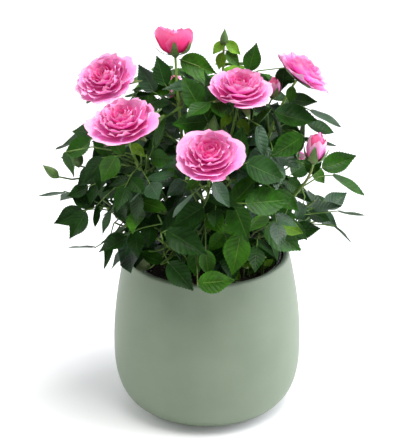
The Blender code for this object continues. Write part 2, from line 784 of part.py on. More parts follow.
def make_pot(group):
    """A bellied pot with an even wall, a round lip and a flat underside."""
    clay = material("sage_glaze", (0.27, 0.34, 0.25), 0.5)
    shoulder = POT_HEIGHT - POT_LIP_ROUND
    profile = [(0.0, POT_FLOOR)]
    for share in (0.0, 0.06, 0.16, 0.3, 0.5, 0.75, 1.0):
        height = POT_FLOOR + (shoulder - POT_FLOOR) * share
        profile.append((pot_radius(height) - POT_WALL - 0.4 * MM * (1 - share), height))
    lip = pot_radius(shoulder) - POT_WALL / 2
    for step in range(1, 6):
        a = math.pi * (1 - step / 6)
        profile.append((lip + math.cos(a) * POT_WALL / 2, shoulder + math.sin(a) * POT_LIP_ROUND))
    for step in range(11):
        share = (1 - step / 10) ** 1.5
        height = shoulder * share
        profile.append((pot_radius(height), height))
    profile.append((0.0, 0.0))
    return turned("pot", group, profile, POT_SIDES, clay)


def liner_radius(height):
    """The liner pot's outer radius at a height."""
    foot = POT_FLOOR + GAP
    share = (height - foot) / (LINER_TOP - foot)
    return LINER_FOOT_RADIUS + (LINER_RADIUS - LINER_LIP - LINER_FOOT_RADIUS) * share


def make_liner(group):
    """A thin tapered liner with an outward lip, standing on the pot's floor."""
    plastic = material("black_plastic", (0.02, 0.02, 0.022), 0.45)
    foot = POT_FLOOR + GAP
    inside = foot + LINER_WALL
    lip_low = LINER_TOP - 5 * MM
    profile = [
        (0.0, inside),
        (liner_radius(inside) - LINER_WALL, inside),
        (liner_radius(LINER_TOP) - LINER_WALL, LINER_TOP - 0.6 * MM),
        (liner_radius(LINER_TOP) - LINER_WALL + 0.6 * MM, LINER_TOP),
        (LINER_RADIUS - 0.5 * MM, LINER_TOP),
        (LINER_RADIUS, LINER_TOP - 0.5 * MM),
        (LINER_RADIUS, lip_low),
        (liner_radius(lip_low), lip_low),
        (liner_radius(foot), foot),
        (0.0, foot),
    ]
    return turned("nursery_pot", group, profile, LINER_SIDES, plastic)


def make_soil(group):
    """The soil that fills the liner, lowest at its edge and flat under the crown."""
    peat = material("moist_soil", (0.035, 0.022, 0.015), 0.95)
    foot = POT_FLOOR + 2 * GAP + LINER_WALL
    edge = SOIL_LEVEL - SOIL_EDGE_DROP
    profile = [
        (0.0, SOIL_LEVEL),
        (CROWN_FLARE + 3 * MM, SOIL_LEVEL),
        (0.8 * liner_radius(edge), SOIL_LEVEL - 0.5 * MM),
        (liner_radius(edge) - LINER_WALL - GAP, edge),
        (liner_radius(foot) - LINER_WALL - GAP, foot),
        (0.0, foot),
    ]
    return turned("soil", group, profile, LINER_SIDES, peat)


# ---------------------------------------------------------------- the plant

def make_crown(group):
    """The short woody root crown, flared to a flat cut at soil level."""
    wood = material("old_wood", (0.10, 0.06, 0.03), 0.85)
    ground = SOIL_LEVEL + GAP
    profile = []
    for step in range(6):
        a = math.radians(90 - 16 * step)
        profile.append((CROWN_RADIUS * math.cos(a), SOIL_LEVEL + CROWN_RADIUS * math.sin(a)))
    profile.append((CROWN_FLARE, ground))
    profile.append((0.0, ground))
    return turned("root_crown", group, profile, 16, wood)


def make_canes(group, shoots):
    bark = material("green_cane", (0.12, 0.17, 0.05), 0.6)
    for name, (path, total, mass, kind, width) in shoots.items():
        points = stretch(path, 0, MASS_START * total, 5)
        swell = CANE_RADIUS * (1.1 if kind else 0.95)
        tube("cane_" + name, group, points, swell, CANE_RADIUS * 0.8, bark)


def make_masses(group, shoots, leaflet, bud_tools):
    green = leaflet.materials[0]
    for name, (path, total, mass, kind, width) in shoots.items():
        pieces = collection("pieces_of_" + name)
        end = STEM_TIP_RADIUS if kind else STALK_RADIUS
        stem = tube("stem", group, mass.stem, CANE_RADIUS * 0.78, end, green)
        for twig in mass.twigs:
            tube("twig", pieces, twig, TWIG_RADIUS, TWIG_RADIUS * 0.8, green, 3)
        for stalk in mass.stalks:
            tube("stalk", pieces, stalk, STALK_RADIUS, STALK_RADIUS * 0.8, green, 3)
        for matrix in mass.leaflets:
            add_blade("leaflet", pieces, leaflet, matrix)
        for spot, bud_kind, bud_width in mass.buds:
            make_closed_head(pieces, spot, bud_kind, bud_width, *bud_tools)
        fuse("foliage_" + name, stem, pieces, group, green)


def hip_profile(radius):
    """The round hip under a head, from its widest place down, in (radius, height)."""
    return [(radius, 1.5 * MM), (radius * 0.6, -1.2 * MM), (0.0, -2.4 * MM)]


def turn_about(spot, profile, sides, name, group, paint):
    """A small turned piece whose axis is the spot's +X."""
    piece = turned(name, group, profile, sides, paint)
    whole = solid_copy(piece, name, group)
    bpy.data.objects.remove(piece)
    whole.data.transform(spot @ Matrix.Rotation(math.radians(90), 4, "Y"))
    return whole


def make_closed_head(group, spot, kind, width, petal_paint, sepal):
    """A bud or a cup: a turned body in its sepals, on its hip."""
    tall = head_height(kind, width)
    r = width / 2
    if kind == "cup":
        outline = [(0.0, 0.62), (0.6, 0.74), (0.88, 1.0), (1.0, 0.94), (0.93, 0.60), (0.70, 0.28)]
    else:
        outline = [(0.0, 1.0), (0.46, 0.92), (0.90, 0.62), (0.88, 0.34), (0.5, 0.14)]
    hip = HIP_RADIUS * (0.6 if kind == "green" else 1.0)
    profile = [(a * r, h * tall) for a, h in outline]
    turn_about(spot, profile + hip_profile(hip), 8 if kind == "cup" else 6, "bud", group, petal_paint)
    for k in range(5):
        a = math.tau * k / 5
        lean = math.radians(38 if kind == "cup" else 22)
        out = Vector((math.cos(lean), math.sin(lean) * math.cos(a), math.sin(lean) * math.sin(a)))
        turned_out = (spot.to_3x3() @ out).normalized()
        face = (spot.to_3x3() @ Vector((-0.3, math.cos(a), math.sin(a)))).normalized()
        root = spot @ Vector((tall * 0.05, 0, 0))
        size = max(tall * 0.72, 8 * MM)
        add_blade("sepal", group, sepal, frame_matrix(root, turned_out, face, size))


def make_open_head(group, spot, width, paint):
    """An open double bloom: tiers of lobed petals round a tight heart, on its hip."""
    r = width / 2
    hip = [(radius / r, height / r, 0.0) for radius, height in hip_profile(HIP_RADIUS)[:-1]]
    tiers = BLOOM_TIERS + tuple(hip)
    bm = bmesh.new()
    steps = len(tiers) + 1
    bmesh.ops.create_uvsphere(bm, u_segments=3 * BLOOM_PETALS, v_segments=steps, radius=1)
    for corner in bm.verts:
        level = round(math.acos(max(-1, min(1, corner.co.z))) / math.pi * steps)
        if level == 0:
            corner.co = (0, 0, 0.60 * r)
        elif level == steps:
            corner.co = (0, 0, -2.4 * MM)
        else:
            reach_share, height, lobes = tiers[level - 1]
            a = math.atan2(corner.co.y, corner.co.x)
            notch = level // 2 * math.tau / 3 / BLOOM_PETALS
            lobe = -lobes * math.cos(BLOOM_PETALS * (a - notch))
            away = (reach_share + lobe - 0.5 * lobes) * r
            corner.co = (away * math.cos(a), away * math.sin(a), (height + 0.4 * lobe) * r)
    mesh = bpy.data.meshes.new("rosette")
    bm.to_mesh(mesh)
    bm.free()
    mesh.materials.append(paint)
    mesh.transform(spot @ Matrix.Rotation(math.radians(90), 4, "Y"))
    group.objects.link(bpy.data.objects.new("rosette", mesh))


def make_heads(group, shoots, pink, sepal):
    for name, (path, total, mass, kind, width) in shoots.items():
        if not kind:
            continue
        pieces = collection("pieces_of_" + name)
        paint = sepal.materials[0] if kind == "green" else pink
        tip, way = at(path, total)
        points = stretch(path, HEAD_START * total + GAP / 2, total, 4)
        stalk = tube("stalk", group, points, STEM_TIP_RADIUS, STEM_TIP_RADIUS * 0.9, paint)
        spot = frame_matrix(tip, way, way.orthogonal())
        if kind == "open":
            make_open_head(pieces, spot, width, paint)
        else:
            make_closed_head(pieces, spot, kind, width, paint, sepal)
        fuse(("bloom_" if kind in ("open", "cup") else "bud_") + name, stalk, pieces, group, paint)


def main():
    clear_scene()
    group = collection("potted_rose_bush")
    make_pot(group)
    make_liner(group)
    make_soil(group)
    make_crown(group)
    shoots = grow()
    make_canes(group, shoots)
    green = material("rose_leaf", (0.05, 0.13, 0.04), 0.45)
    pink = material("pink_petal", (0.85, 0.16, 0.42), 0.5)
    leaflet = lens_mesh("leaflet", 6, leaflet_shape, green)
    sepal = lens_mesh("sepal", 4, sepal_shape, green)
    make_masses(group, shoots, leaflet, (green, sepal))
    make_heads(group, shoots, pink, sepal)


main()
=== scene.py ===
"""Potted miniature rose bush: its finished surfaces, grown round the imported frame."""
import math
import random

import bmesh
import bpy
import numpy as np
from mathutils import Matrix, Vector, noise
from mathutils.bvhtree import BVHTree


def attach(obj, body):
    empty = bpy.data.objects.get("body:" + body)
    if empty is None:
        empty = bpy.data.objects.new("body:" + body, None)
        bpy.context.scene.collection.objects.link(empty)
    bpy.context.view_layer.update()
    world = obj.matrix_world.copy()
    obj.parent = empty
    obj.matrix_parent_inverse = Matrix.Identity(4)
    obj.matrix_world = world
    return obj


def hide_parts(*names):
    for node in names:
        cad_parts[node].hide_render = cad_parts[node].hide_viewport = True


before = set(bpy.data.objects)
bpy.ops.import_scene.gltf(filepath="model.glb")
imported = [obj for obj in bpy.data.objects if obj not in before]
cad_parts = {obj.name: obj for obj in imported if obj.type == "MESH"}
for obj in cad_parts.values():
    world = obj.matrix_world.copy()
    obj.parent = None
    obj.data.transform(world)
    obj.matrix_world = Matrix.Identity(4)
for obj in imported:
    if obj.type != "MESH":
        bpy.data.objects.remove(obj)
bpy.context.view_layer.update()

MM = 0.001
GAP = 0.3 * MM

# The turned pot
POT_HEIGHT = 129.2 * MM
POT_RADIUS = 74.0 * MM
POT_BELLY_HEIGHT = 55.0 * MM
POT_FOOT_RADIUS = 43.0 * MM
POT_MOUTH_RADIUS = 64.2 * MM
POT_WALL = 5.0 * MM
POT_FLOOR = 9.0 * MM
POT_LIP_ROUND = 2.5 * MM
FOOT_EDGE = 0.25 * MM

# The liner pot and its soil
LINER_TOP = 127.0 * MM
LINER_RADIUS = 58.7 * MM
LINER_FOOT_RADIUS = 41.0 * MM
LINER_WALL = 1.4 * MM
LINER_LIP = 1.8 * MM
SOIL_LEVEL = 119.0 * MM
SOIL_EDGE_DROP = 1.5 * MM
SOIL_CRUMBS = 900
BIG_CRUMBS = 0.08
BARK_CHIPS = 0.24
WHITE_GRITS = 0.04
CRUMB_PAINTS = (
    ("peat_crumb", (0.012, 0.008, 0.005), (0.045, 0.029, 0.018)),
    ("bark_chip", (0.055, 0.032, 0.018), (0.130, 0.080, 0.045)),
    ("dry_fibre", (0.190, 0.140, 0.080), (0.360, 0.280, 0.170)),
    ("white_grit", (0.420, 0.400, 0.360), (0.620, 0.600, 0.560)),
)

# The root crown, which all canes leave
CROWN_RADIUS = 12.0 * MM
CROWN_FLARE = 14.5 * MM

# Prickles: from this far up a cane to this share of the shoot, and how far apart (mm)
PRICKLES_START = 14 * MM
PRICKLES_END = 0.62
PRICKLE_SPACING = (7, 17)

# Canes, twigs and leaf stalks
CANE_RADIUS = 1.75 * MM
STEM_TIP_RADIUS = 1.1 * MM
TWIG_RADIUS = 0.95 * MM
STALK_RADIUS = 0.85 * MM
FINE_STALK_RADIUS = 0.5 * MM

# What keeps them clear of each other: a limb's guard starts just off the limb that bears it
LIMB_CLEARANCE = 0.6 * MM
TWIG_GUARD = TWIG_RADIUS + 0.7 * MM
OFF_LIMB = 1.2 * MM

# Where leaves and side twigs stand along a stem or a twig: shares of it, and distances
MASS_START = 0.27
HEAD_START = 0.87
NODE_SPACING = 12.5 * MM
SIDE_TWIGS = (0.46, 0.66)
SIDE_TWIG_LENGTH = 30.0 * MM
TWIG_NODES = (0.45, 0.72, 0.97)
STEM_LEAF_START = 7.0 * MM
BARE_NECK = 4.0 * MM
BARE_END = 2.0 * MM
MOST_LEAFLETS = 12
TWIG_LEAF_SIZE = 0.9
AIMED_STALK = 20.0 * MM
AIM_SLIDES = (0, 3, -3, 6, -6, 10, -10, 14, -14, 18, -18, -24)
GOLDEN_ANGLE = math.radians(137.5)

# The finer growth that fills the crown in: more side twigs, closer nodes, smaller leaves
FINE_TWIGS = (0.36, 0.42, 0.54, 0.60, 0.72, 0.80)
FINE_TWIG_LENGTH = 22.0 * MM
FINE_SPACING = 5.5 * MM
FINE_LEAFLETS = 64
FINE_CLEARANCE = 0.3 * MM
FINE_REACH = 0.91
FINE_TRIES = 14
FINE_LEAF_START = -6.0 * MM
TWIG_LEAF_START = 5.0 * MM
SPROUTS = 15

# How long the end leaflets are (mm), and how many leaflets a leaf may have
LEAF_LENGTHS = (27, 37)
LEAF_COUNTS = (3, 5, 5, 5)
FINE_LENGTHS = (19, 33)
FINE_COUNTS = (3, 5, 5)

# The leaflets, and where their pairs stand behind the end one, in its lengths
PAIR_START = 0.30
PAIR_SPACING = 0.52
LEAFLET_HALF_WIDTH = 0.31
LEAFLET_FOLD = 0.07
LEAFLET_CURL = 0.10
LEAFLET_CLEARANCE = 0.7 * MM
LEAFLET_ROWS = 7
LEAFLET_TEETH = 14
BARE_STALK = 4.0 * MM

# Heads: the green hip, the turn from ring to ring (radians), and how tall each kind is
# above the foot of its hip, in its widths
HIP_RADIUS = 3.2 * MM
RING_TWIST = 2.4
HEAD_HEIGHTS = {"cup": 0.74, "bud": 1.45, "green": 1.8}

# The space that the crown fills, and how low leaves may hang out to each radius
CROWN_CENTRE = Vector((0, 0, 196 * MM))
CROWN_REACH = Vector((120 * MM, 110 * MM, 98 * MM))
LOWEST_LEAVES = ((55 * MM, SOIL_LEVEL + 5 * MM), (72 * MM, POT_HEIGHT + 2 * MM),
                 (math.inf, POT_HEIGHT - 4 * MM))

# How near the crown's edge twigs may grow, and how far past it aimed leaves may, in its size
TWIG_REACH = 0.85
AIMED_REACH = 1.25

# name, foot turn and lean (degrees), head place (mm), facing, head kind, head width (mm)
SHOOTS = (
    ("front", -95, 38, (2, -68, 233), (0.00, -0.46, 0.89), "open", 52),
    ("left_front", -146, 38, (-60, -52, 252), (-0.16, -0.25, 0.95), "open", 54),
    ("left_upper", 163, 38, (-74, -10, 272), (-0.30, -0.44, 0.85), "open", 49),
    ("top_left", 180, 14, (-24, 4, 294), (-0.04, 0.36, 0.93), "cup", 27),
    ("top", -90, 14, (24, -24, 268), (0.08, -0.22, 0.97), "open", 49),
    ("right_upper", 8, 38, (71, -8, 279), (0.62, 0.12, 0.78), "open", 50),
    ("right_front", -43, 40, (80, -34, 218), (0.12, -0.06, 0.99), "bud", 17),
    ("top_bud", 0, 14, (13, 15, 298), (0.06, 0.05, 0.99), "green", 7),
    ("back_left", 111, 38, (-58, 66, 198), (-0.42, 0.50, 0.76), "open", 50),
    ("back_right", 60, 40, (56, 70, 186), (0.45, 0.55, 0.70), "open", 52),
    ("back", 90, 62, (16, 76, 222), (0.05, 0.55, 0.83), "cup", 32),
    ("back_bud", 90, 14, (-22, 66, 228), (-0.15, 0.30, 0.94), "bud", 18),
    ("low_left", -168, 62, (-82, -26, 186), (-0.70, -0.25, 0.66), None, 0),
    ("low_right", -14, 62, (84, -12, 178), (0.75, -0.15, 0.64), None, 0),
    ("low_front_left", -120, 62, (-38, -56, 166), (-0.35, -0.65, 0.66), None, 0),
    ("low_front_right", -68, 62, (40, -56, 168), (0.40, -0.62, 0.66), None, 0),
    ("low_back_left", 142, 62, (-62, 50, 168), (-0.60, 0.48, 0.64), None, 0),
    ("low_back_right", 36, 62, (66, 40, 168), (0.60, 0.45, 0.64), None, 0),
)

# shoot, place along it, bud's foot (mm), facing, bud kind, bud width (mm)
TWIGS = (
    ("left_upper", 0.62, (-98, -12, 206), (-0.15, 0.00, 0.99), "green", 10),
    ("left_upper", 0.50, (-114, -19, 200), (-0.75, 0.00, 0.66), "green", 8),
    ("top", 0.60, (4, -36, 241), (0.10, 0.00, 0.99), "green", 9),
    ("top", 0.66, (50, 4, 256), (0.10, 0.00, 0.99), "bud", 11),
)

# Leaves that make the outline and the front: tip and foot of the end leaflet (mm), face,
# leaflets, colour
AIMED_LEAVES = (
    ((-105, -42, 158), (-92, -38, 180), (-0.46, -0.81, 0.36), 3, "deep"),
    ((-118, -28, 165), (-95, -28, 176), (0.10, -0.75, 0.65), 1, "deep"),
    ((-129, -20, 186), (-108, -20, 188), (-0.10, 0.30, 0.95), 3, "blue"),
    ((-84, -36, 165), (-83, -34, 183), (0.86, -0.45, 0.25), 1, "deep"),
    ((-74, -58, 139), (-73, -56, 166), (0.88, -0.45, 0.12), 1, "deep"),
    ((-67, -62, 145), (-59, -56, 170), (-0.79, -0.61, 0.12), 1, "blue"),
    ((-107, -30, 148), (-85, -30, 146), (0.00, 0.35, 0.94), 1, "blue"),
    ((-82, -48, 158), (-69, -48, 167), (0.31, 0.10, 0.95), 1, "deep"),
    ((-112, -22, 217), (-88, -22, 231), (-0.20, -0.55, 0.81), 3, "mid"),
    ((-102, -22, 199), (-106, -24, 222), (-0.76, -0.61, 0.20), 1, "mid"),
    ((-79, -58, 211), (-67, -58, 233), (0.10, -0.91, 0.40), 3, "fresh"),
    ((-92, -44, 205), (-77, -44, 226), (0.00, -0.86, 0.51), 3, "deep"),
    ((1, -84, 166), (-30, -74, 180), (0.00, -0.80, 0.60), 3, "deep"),
    ((-10, -82, 134), (-29, -70, 152), (-0.10, -0.86, 0.50), 1, "deep"),
    ((21, -80, 142), (-7, -80, 139), (0.10, -0.91, 0.40), 1, "fresh"),
    ((2, -72, 140), (-1, -66, 160), (0.15, -0.90, 0.40), 1, "fresh"),
    ((18, -78, 144), (25, -68, 175), (-0.20, -0.91, 0.35), 3, "fresh"),
    ((-8, -70, 138), (-10, -62, 157), (-0.30, -0.90, 0.30), 1, "mid"),
    # This leaf's pale green is a painted sheen
    ((-60, -48, 145), (-43, -50, 138), (0.10, -0.60, 0.80), 1, "pale"),
    ((-53, -52, 153), (-33, -56, 146), (0.10, -0.40, 0.91), 1, "mid"),
    ((17, -82, 202), (5, -78, 221), (0.61, -0.71, 0.35), 1, "blue"),
    ((-27, -76, 193), (-11, -74, 209), (0.30, 0.35, 0.89), 1, "blue"),
    ((-27, -76, 184), (-2, -72, 199), (-0.10, -0.75, 0.65), 3, "deep"),
    ((74, -56, 155), (44, -58, 176), (0.10, -0.80, 0.60), 1, "mid"),
    ((64, -66, 203), (28, -70, 200), (0.05, -0.80, 0.60), 3, "mid"),
    ((73, -46, 165), (56, -48, 173), (0.20, -0.78, 0.59), 1, "young"),
    ((122, -26, 190), (95, -28, 205), (0.10, -0.10, 0.99), 1, "mid"),
    ((113, -24, 220), (87, -28, 211), (0.00, -0.76, 0.65), 3, "mid"),
    ((103, -14, 241), (78, -14, 252), (0.10, -0.05, 0.99), 1, "blue"),
    ((85, 6, 252), (63, 6, 254), (0.00, -0.54, 0.84), 1, "deep"),
    ((83, -22, 248), (51, -22, 254), (0.00, -0.65, 0.76), 3, "deep"),
    ((103, -20, 179), (81, -20, 174), (0.00, -0.20, 0.98), 1, "blue"),
    ((96, -20, 164), (78, -20, 171), (0.00, -0.71, 0.71), 1, "deep"),
    ((68, -40, 171), (73, -38, 186), (0.30, -0.86, 0.41), 1, "blue"),
    ((122, -16, 168), (101, -16, 170), (0.02, 0.42, 0.91), 1, "deep"),
    ((114, -16, 144), (98, -16, 158), (0.46, 0.36, 0.81), 1, "deep"),
    ((69, -46, 178), (47, -48, 183), (0.10, -0.80, 0.60), 1, "mid"),
    ((61, -60, 215), (29, -64, 230), (0.00, -0.76, 0.65), 3, "deep"),
    ((44, -48, 228), (38, -44, 252), (0.76, -0.61, 0.20), 1, "blue"),
    ((46, -40, 225), (71, -36, 240), (0.00, -0.71, 0.71), 3, "mid"),
    ((8, 4, 276), (-20, 4, 286), (0.00, -0.86, 0.51), 1, "fresh"),
    ((-37, -12, 295), (-31, -14, 272), (0.20, -0.84, 0.50), 1, "deep"),
    ((-52, 2, 283), (-40, -2, 262), (-0.30, -0.81, 0.51), 1, "blue"),
    ((-34, -16, 270), (-7, -16, 275), (0.00, -0.15, 0.99), 1, "blue"),
    ((38, 22, 293), (32, 20, 271), (0.10, -0.93, 0.36), 1, "mid"),
    ((49, 16, 264), (31, 16, 270), (0.00, -0.45, 0.89), 1, "deep"),
    ((56, 14, 256), (59, 14, 276), (-0.20, -0.91, 0.35), 1, "deep"),
    ((-99, -26, 195), (-84, -28, 211), (-0.10, -0.82, 0.56), 3, "deep"),
    ((-107, -24, 186), (-90, -24, 194), (0.00, -0.60, 0.80), 3, "deep"),
    ((91, -26, 197), (81, -28, 211), (0.00, -0.71, 0.71), 1, "fresh"),
)

# Small young leaves on the stems of heads: shoot, place along it, tip and foot (mm), face,
# colour
BRACTS = (
    ("top_bud", 0.960, (4, 10, 288), (12, 14, 297), (-0.30, -0.85, 0.40), "young"),
    ("top_bud", 0.955, (26, 12, 287), (15, 14, 297), (0.30, -0.80, 0.50), "young"),
    ("top_bud", 0.930, (25, 10, 278), (15, 13, 290), (0.40, -0.85, 0.30), "fresh"),
    ("top_bud", 0.920, (8, 8, 276), (12, 12, 289), (-0.40, -0.85, 0.30), "young"),
    ("left_front", 0.930, (-45, -66, 236), (-55, -60, 243), (0.20, -0.80, 0.60), "young"),
    ("front", 0.930, (-16, -80, 215), (-6, -74, 221), (-0.20, -0.80, 0.60), "fresh"),
    ("top", 0.930, (10, -40, 248), (17, -32, 256), (-0.30, -0.80, 0.50), "young"),
    ("top", 0.900, (32, -40, 243), (24, -30, 251), (0.40, -0.80, 0.40), "young"),
    ("right_upper", 0.930, (62, -16, 258), (64, -10, 270), (-0.30, -0.80, 0.40), "fresh"),
    ("right_upper", 0.950, (56, -10, 276), (66, -8, 274), (-0.30, -0.70, 0.50), "deep"),
    ("top_left", 0.900, (-24, -6, 262), (-24, 2, 273), (0.30, -0.85, 0.40), "fresh"),
)

# Places seen through from the front, a little above: x from and to, and level from and
# to (mm), a point's level being its height less its share of the slope
OPENINGS = (
    (24, 62, 98, 121),
    (42, 62, 121, 130),
    (-66, -30, 95, 120),
    (-106, -76, 129, 162),
    (-84, -70, 117, 146),
    (64, 104, 104, 131),
    (76, 135, 112, 151),
    (103, 135, 115, 178),
    (70, 135, 173, 188),
    (74, 96, 173, 196),
    (-120, -97, 228, 260),
    (-107, -101, 201, 211),
    (-112, -97, 176, 186),
)
OPENING_SLOPE = 0.449


# ---------------------------------------------------------------- growth

def direction(turn, lean):
    """A unit vector leaning from +Z toward the compass turn, in degrees."""
    a, b = math.radians(turn), math.radians(lean)
    return Vector((math.cos(a) * math.sin(b), math.sin(a) * math.sin(b), math.cos(b)))


def place(mm):
    return Vector(mm) * MM


def bend(a, out, back, d, count):
    """Points of a cubic curve from a to d that leaves along out and arrives along back."""
    points = []
    b, c = a + out, d - back
    for i in range(count):
        t = i / (count - 1)
        s = 1 - t
        points.append(a * s**3 + b * 3 * s * s * t + c * 3 * s * t * t + d * t**3)
    return points


def reach(points):
    return sum((b - a).length for a, b in zip(points, points[1:]))


def at(points, distance):
    """The place at a distance along the points, and the heading there."""
    for a, b in zip(points, points[1:]):
        step = (b - a).length
        if distance <= step:
            break
        distance -= step
    heading = (b - a).normalized()
    return a + heading * distance, heading


def stretch(points, start, end, count):
    """count points, evenly spaced from one distance along the points to another."""
    return [at(points, start + (end - start) * i / (count - 1))[0] for i in range(count)]


def sideways(way, turn):
    """A unit vector square to a heading, turned round it."""
    side = way.orthogonal().normalized()
    side.rotate(Matrix.Rotation(turn, 3, way))
    return side


def frame_matrix(origin, heading, face, scale=1.0):
    """A matrix whose +X is the heading and whose +Z is as near the face as it can be."""
    x = heading.normalized()
    y = face.cross(x).normalized()
    z = x.cross(y)
    turn = Matrix((x * scale, y * scale, z * scale)).transposed().to_4x4()
    return Matrix.Translation(origin) @ turn


class Shoot:
    """A stem from the root crown to the foot of its head, and all that it bears."""

    def __init__(self, name, foot_turn, foot_lean, head, facing, kind, width):
        out = direction(foot_turn, foot_lean)
        foot = Vector((0, 0, SOIL_LEVEL)) + out * (CROWN_RADIUS + GAP)
        span = (head - foot).length
        self.path = bend(foot, out * span * 0.35, facing * span * 0.30, head, 40)
        self.total = reach(self.path)
        self.name = name
        self.kind = kind
        self.width = width
        self.leaf_end = HEAD_START * self.total - BARE_NECK if kind else self.total - BARE_END
        self.twigs = []
        self.leaves = []
        self.leaflets = 0
        self.fine = []
        self.buds = []
        self.knots = []

    def node(self, share):
        """The place at a share of the stem's length, and the heading there."""
        return at(self.path, share * self.total)

    def head_spot(self):
        tip, way = self.node(1)
        return frame_matrix(tip, way, way.orthogonal())

    def add_twig(self, twig):
        self.twigs.append(twig)
        return self.twig_name(len(self.twigs))

    def twig_name(self, number):
        return "%s_twig%d" % (self.name, number)


def ball(points):
    """The middle of the points, and how far they reach from it."""
    centre = sum(points, Vector()) / len(points)
    return centre, max((p - centre).length for p in points)


class Clearance:
    """The surfaces that have been placed, each with the limb that it belongs to."""

    def __init__(self):
        self.things = []

    def add(self, owner, points, faces):
        self.things.append((owner, *ball(points), BVHTree.FromPolygons(points, faces)))

    def is_free(self, points, faces, owners=()):
        centre, radius = ball(points)
        tree = None
        for owner, other, size, surface in self.things:
            if owner in owners or (centre - other).length > radius + size:
                continue
            tree = tree or BVHTree.FromPolygons(points, faces)
            if tree.overlap(surface):
                return False
        return True


def ring_faces(rings, sides):
    """Triangles that join rings of corners into a tube."""
    faces = []
    for start in range(0, (rings - 1) * sides, sides):
        for k in range(sides):
            a, b = start + k, start + (k + 1) % sides
            faces += [(a, b, b + sides), (a, b + sides, a + sides)]
    return faces


def guard_tube(points, radius, sides=5):
    """A tube round the points, for the clearance test."""
    corners = []
    for i, p in enumerate(points):
        heading = (points[min(i + 1, len(points) - 1)] - points[max(i - 1, 0)]).normalized()
        side = heading.orthogonal().normalized()
        other = heading.cross(side)
        for k in range(sides):
            a = math.tau * k / sides
            corners.append(p + (side * math.cos(a) + other * math.sin(a)) * radius)
    return corners, ring_faces(len(points), sides)


def guard_limb(points, radius):
    """A tube round a twig or a stalk, from just off the limb that bears it."""
    return guard_tube([at(points, OFF_LIMB)[0]] + points[1:], radius)


def guard_leaflet(matrix, clearance):
    """A slightly larger lens round a leaflet, for the clearance test."""
    length = matrix.to_scale().x
    thick = clearance / length
    shape = [(0.02, 0), (0.22, 0.9), (0.66, 0.93), (1.03, 0), (0.66, -0.93), (0.22, -0.9)]
    ring = [(x, y * LEAFLET_HALF_WIDTH * 1.04, -LEAFLET_CURL * x * x) for x, y in shape]
    middle = [(0.42, 0, -LEAFLET_FOLD + thick), (0.42, 0, -LEAFLET_FOLD - thick)]
    corners = [matrix @ Vector(p) for p in ring + middle]
    faces = []
    for k in range(6):
        n = (k + 1) % 6
        faces += [(k, n, 6), (n, k, 7)]
    return corners, faces


def guard_head(matrix, kind, width, sides=10):
    """A hull round a bloom or a bud, with a floor at each level, for the clearance test."""
    r = width / 2
    if kind == "open":
        outline = [(3.5 * MM, -3 * MM), (r * 0.60, -0.5 * MM), (r * 1.10, r * 0.18),
                   (r * 1.10, r * 0.42), (r * 0.80, r * 0.66), (r * 0.4, r * 0.78)]
    else:
        tall = HEAD_HEIGHTS[kind] * width
        outline = [(2.0 * MM, -1 * MM), (r * 1.2, tall * 0.3), (r * 1.3, tall * 0.7),
                   (r * 0.9, tall * 1.04)]
    corners = []
    for radius, height in outline:
        for k in range(sides):
            a = math.tau * k / sides
            ring = (height, radius * math.cos(a), radius * math.sin(a))
            corners.append(matrix @ Vector(ring))
    floors = [tuple(range(i * sides, i * sides + sides)) for i in range(len(outline))]
    return corners, ring_faces(len(outline), sides) + floors


def in_crown(points, loose=1.0):
    """Whether the points keep to the crown's space, clear of the pot and the soil."""
    for p in points:
        away = math.hypot(p.x, p.y)
        lowest = next(level for edge, level in LOWEST_LEAVES if away < edge)
        q = p - CROWN_CENTRE
        size = Vector((q[i] / (CROWN_REACH[i] * loose) for i in range(3))).length
        if p.z < lowest or size > 1:
            return False
    return True


def is_open(points):
    """Whether the middle of the points is in a place that is kept open."""
    middle = sum(points, Vector()) / (len(points) * MM)
    level = middle.z + middle.y * OPENING_SLOPE
    return any(a < middle.x < b and low < level < high for a, b, low, high in OPENINGS)


def outward(base):
    """The way out of the crown from a place in it."""
    away = Vector((base.x, base.y, (base.z - CROWN_CENTRE.z) * 0.6))
    return away.normalized() if away.length > 8 * MM else Vector((0, 0, 1))


def compound_leaf(base, heading, tip, face, length, count, chance, heel=None):
    """A leaf's stalk and the places of its leaflets, with the end one's tip at tip."""
    span = (tip - base).length
    end_way = (tip - heel if heel else tip - base - heading * span * 0.30).normalized()
    end = tip - end_way * length
    stalk = bend(base, heading * span * 0.25, end_way * span * 0.15, end, 3)
    total = reach(stalk)
    leaflets = [(frame_matrix(end - end_way * STALK_RADIUS * 0.25, end_way, face, length), None)]
    for pair in range((count - 1) // 2):
        spot = total - length * (PAIR_START + PAIR_SPACING * pair)
        if spot < BARE_STALK:
            break
        root, way = at(stalk, spot)
        size = length * (0.88 - 0.12 * pair)
        for side in (1, -1):
            splay = side * math.radians(66 + chance.uniform(-6, 6))
            turned = frame_matrix(root, way, face) @ Matrix.Rotation(splay, 4, "Z")
            droop = Matrix.Rotation(math.radians(chance.uniform(2, 22)), 4, "Y")
            roll = Matrix.Rotation(math.radians(chance.uniform(-14, 14)), 4, "X")
            leaflets.append((turned @ droop @ roll @ Matrix.Scale(size, 4), side))
    return stalk, leaflets


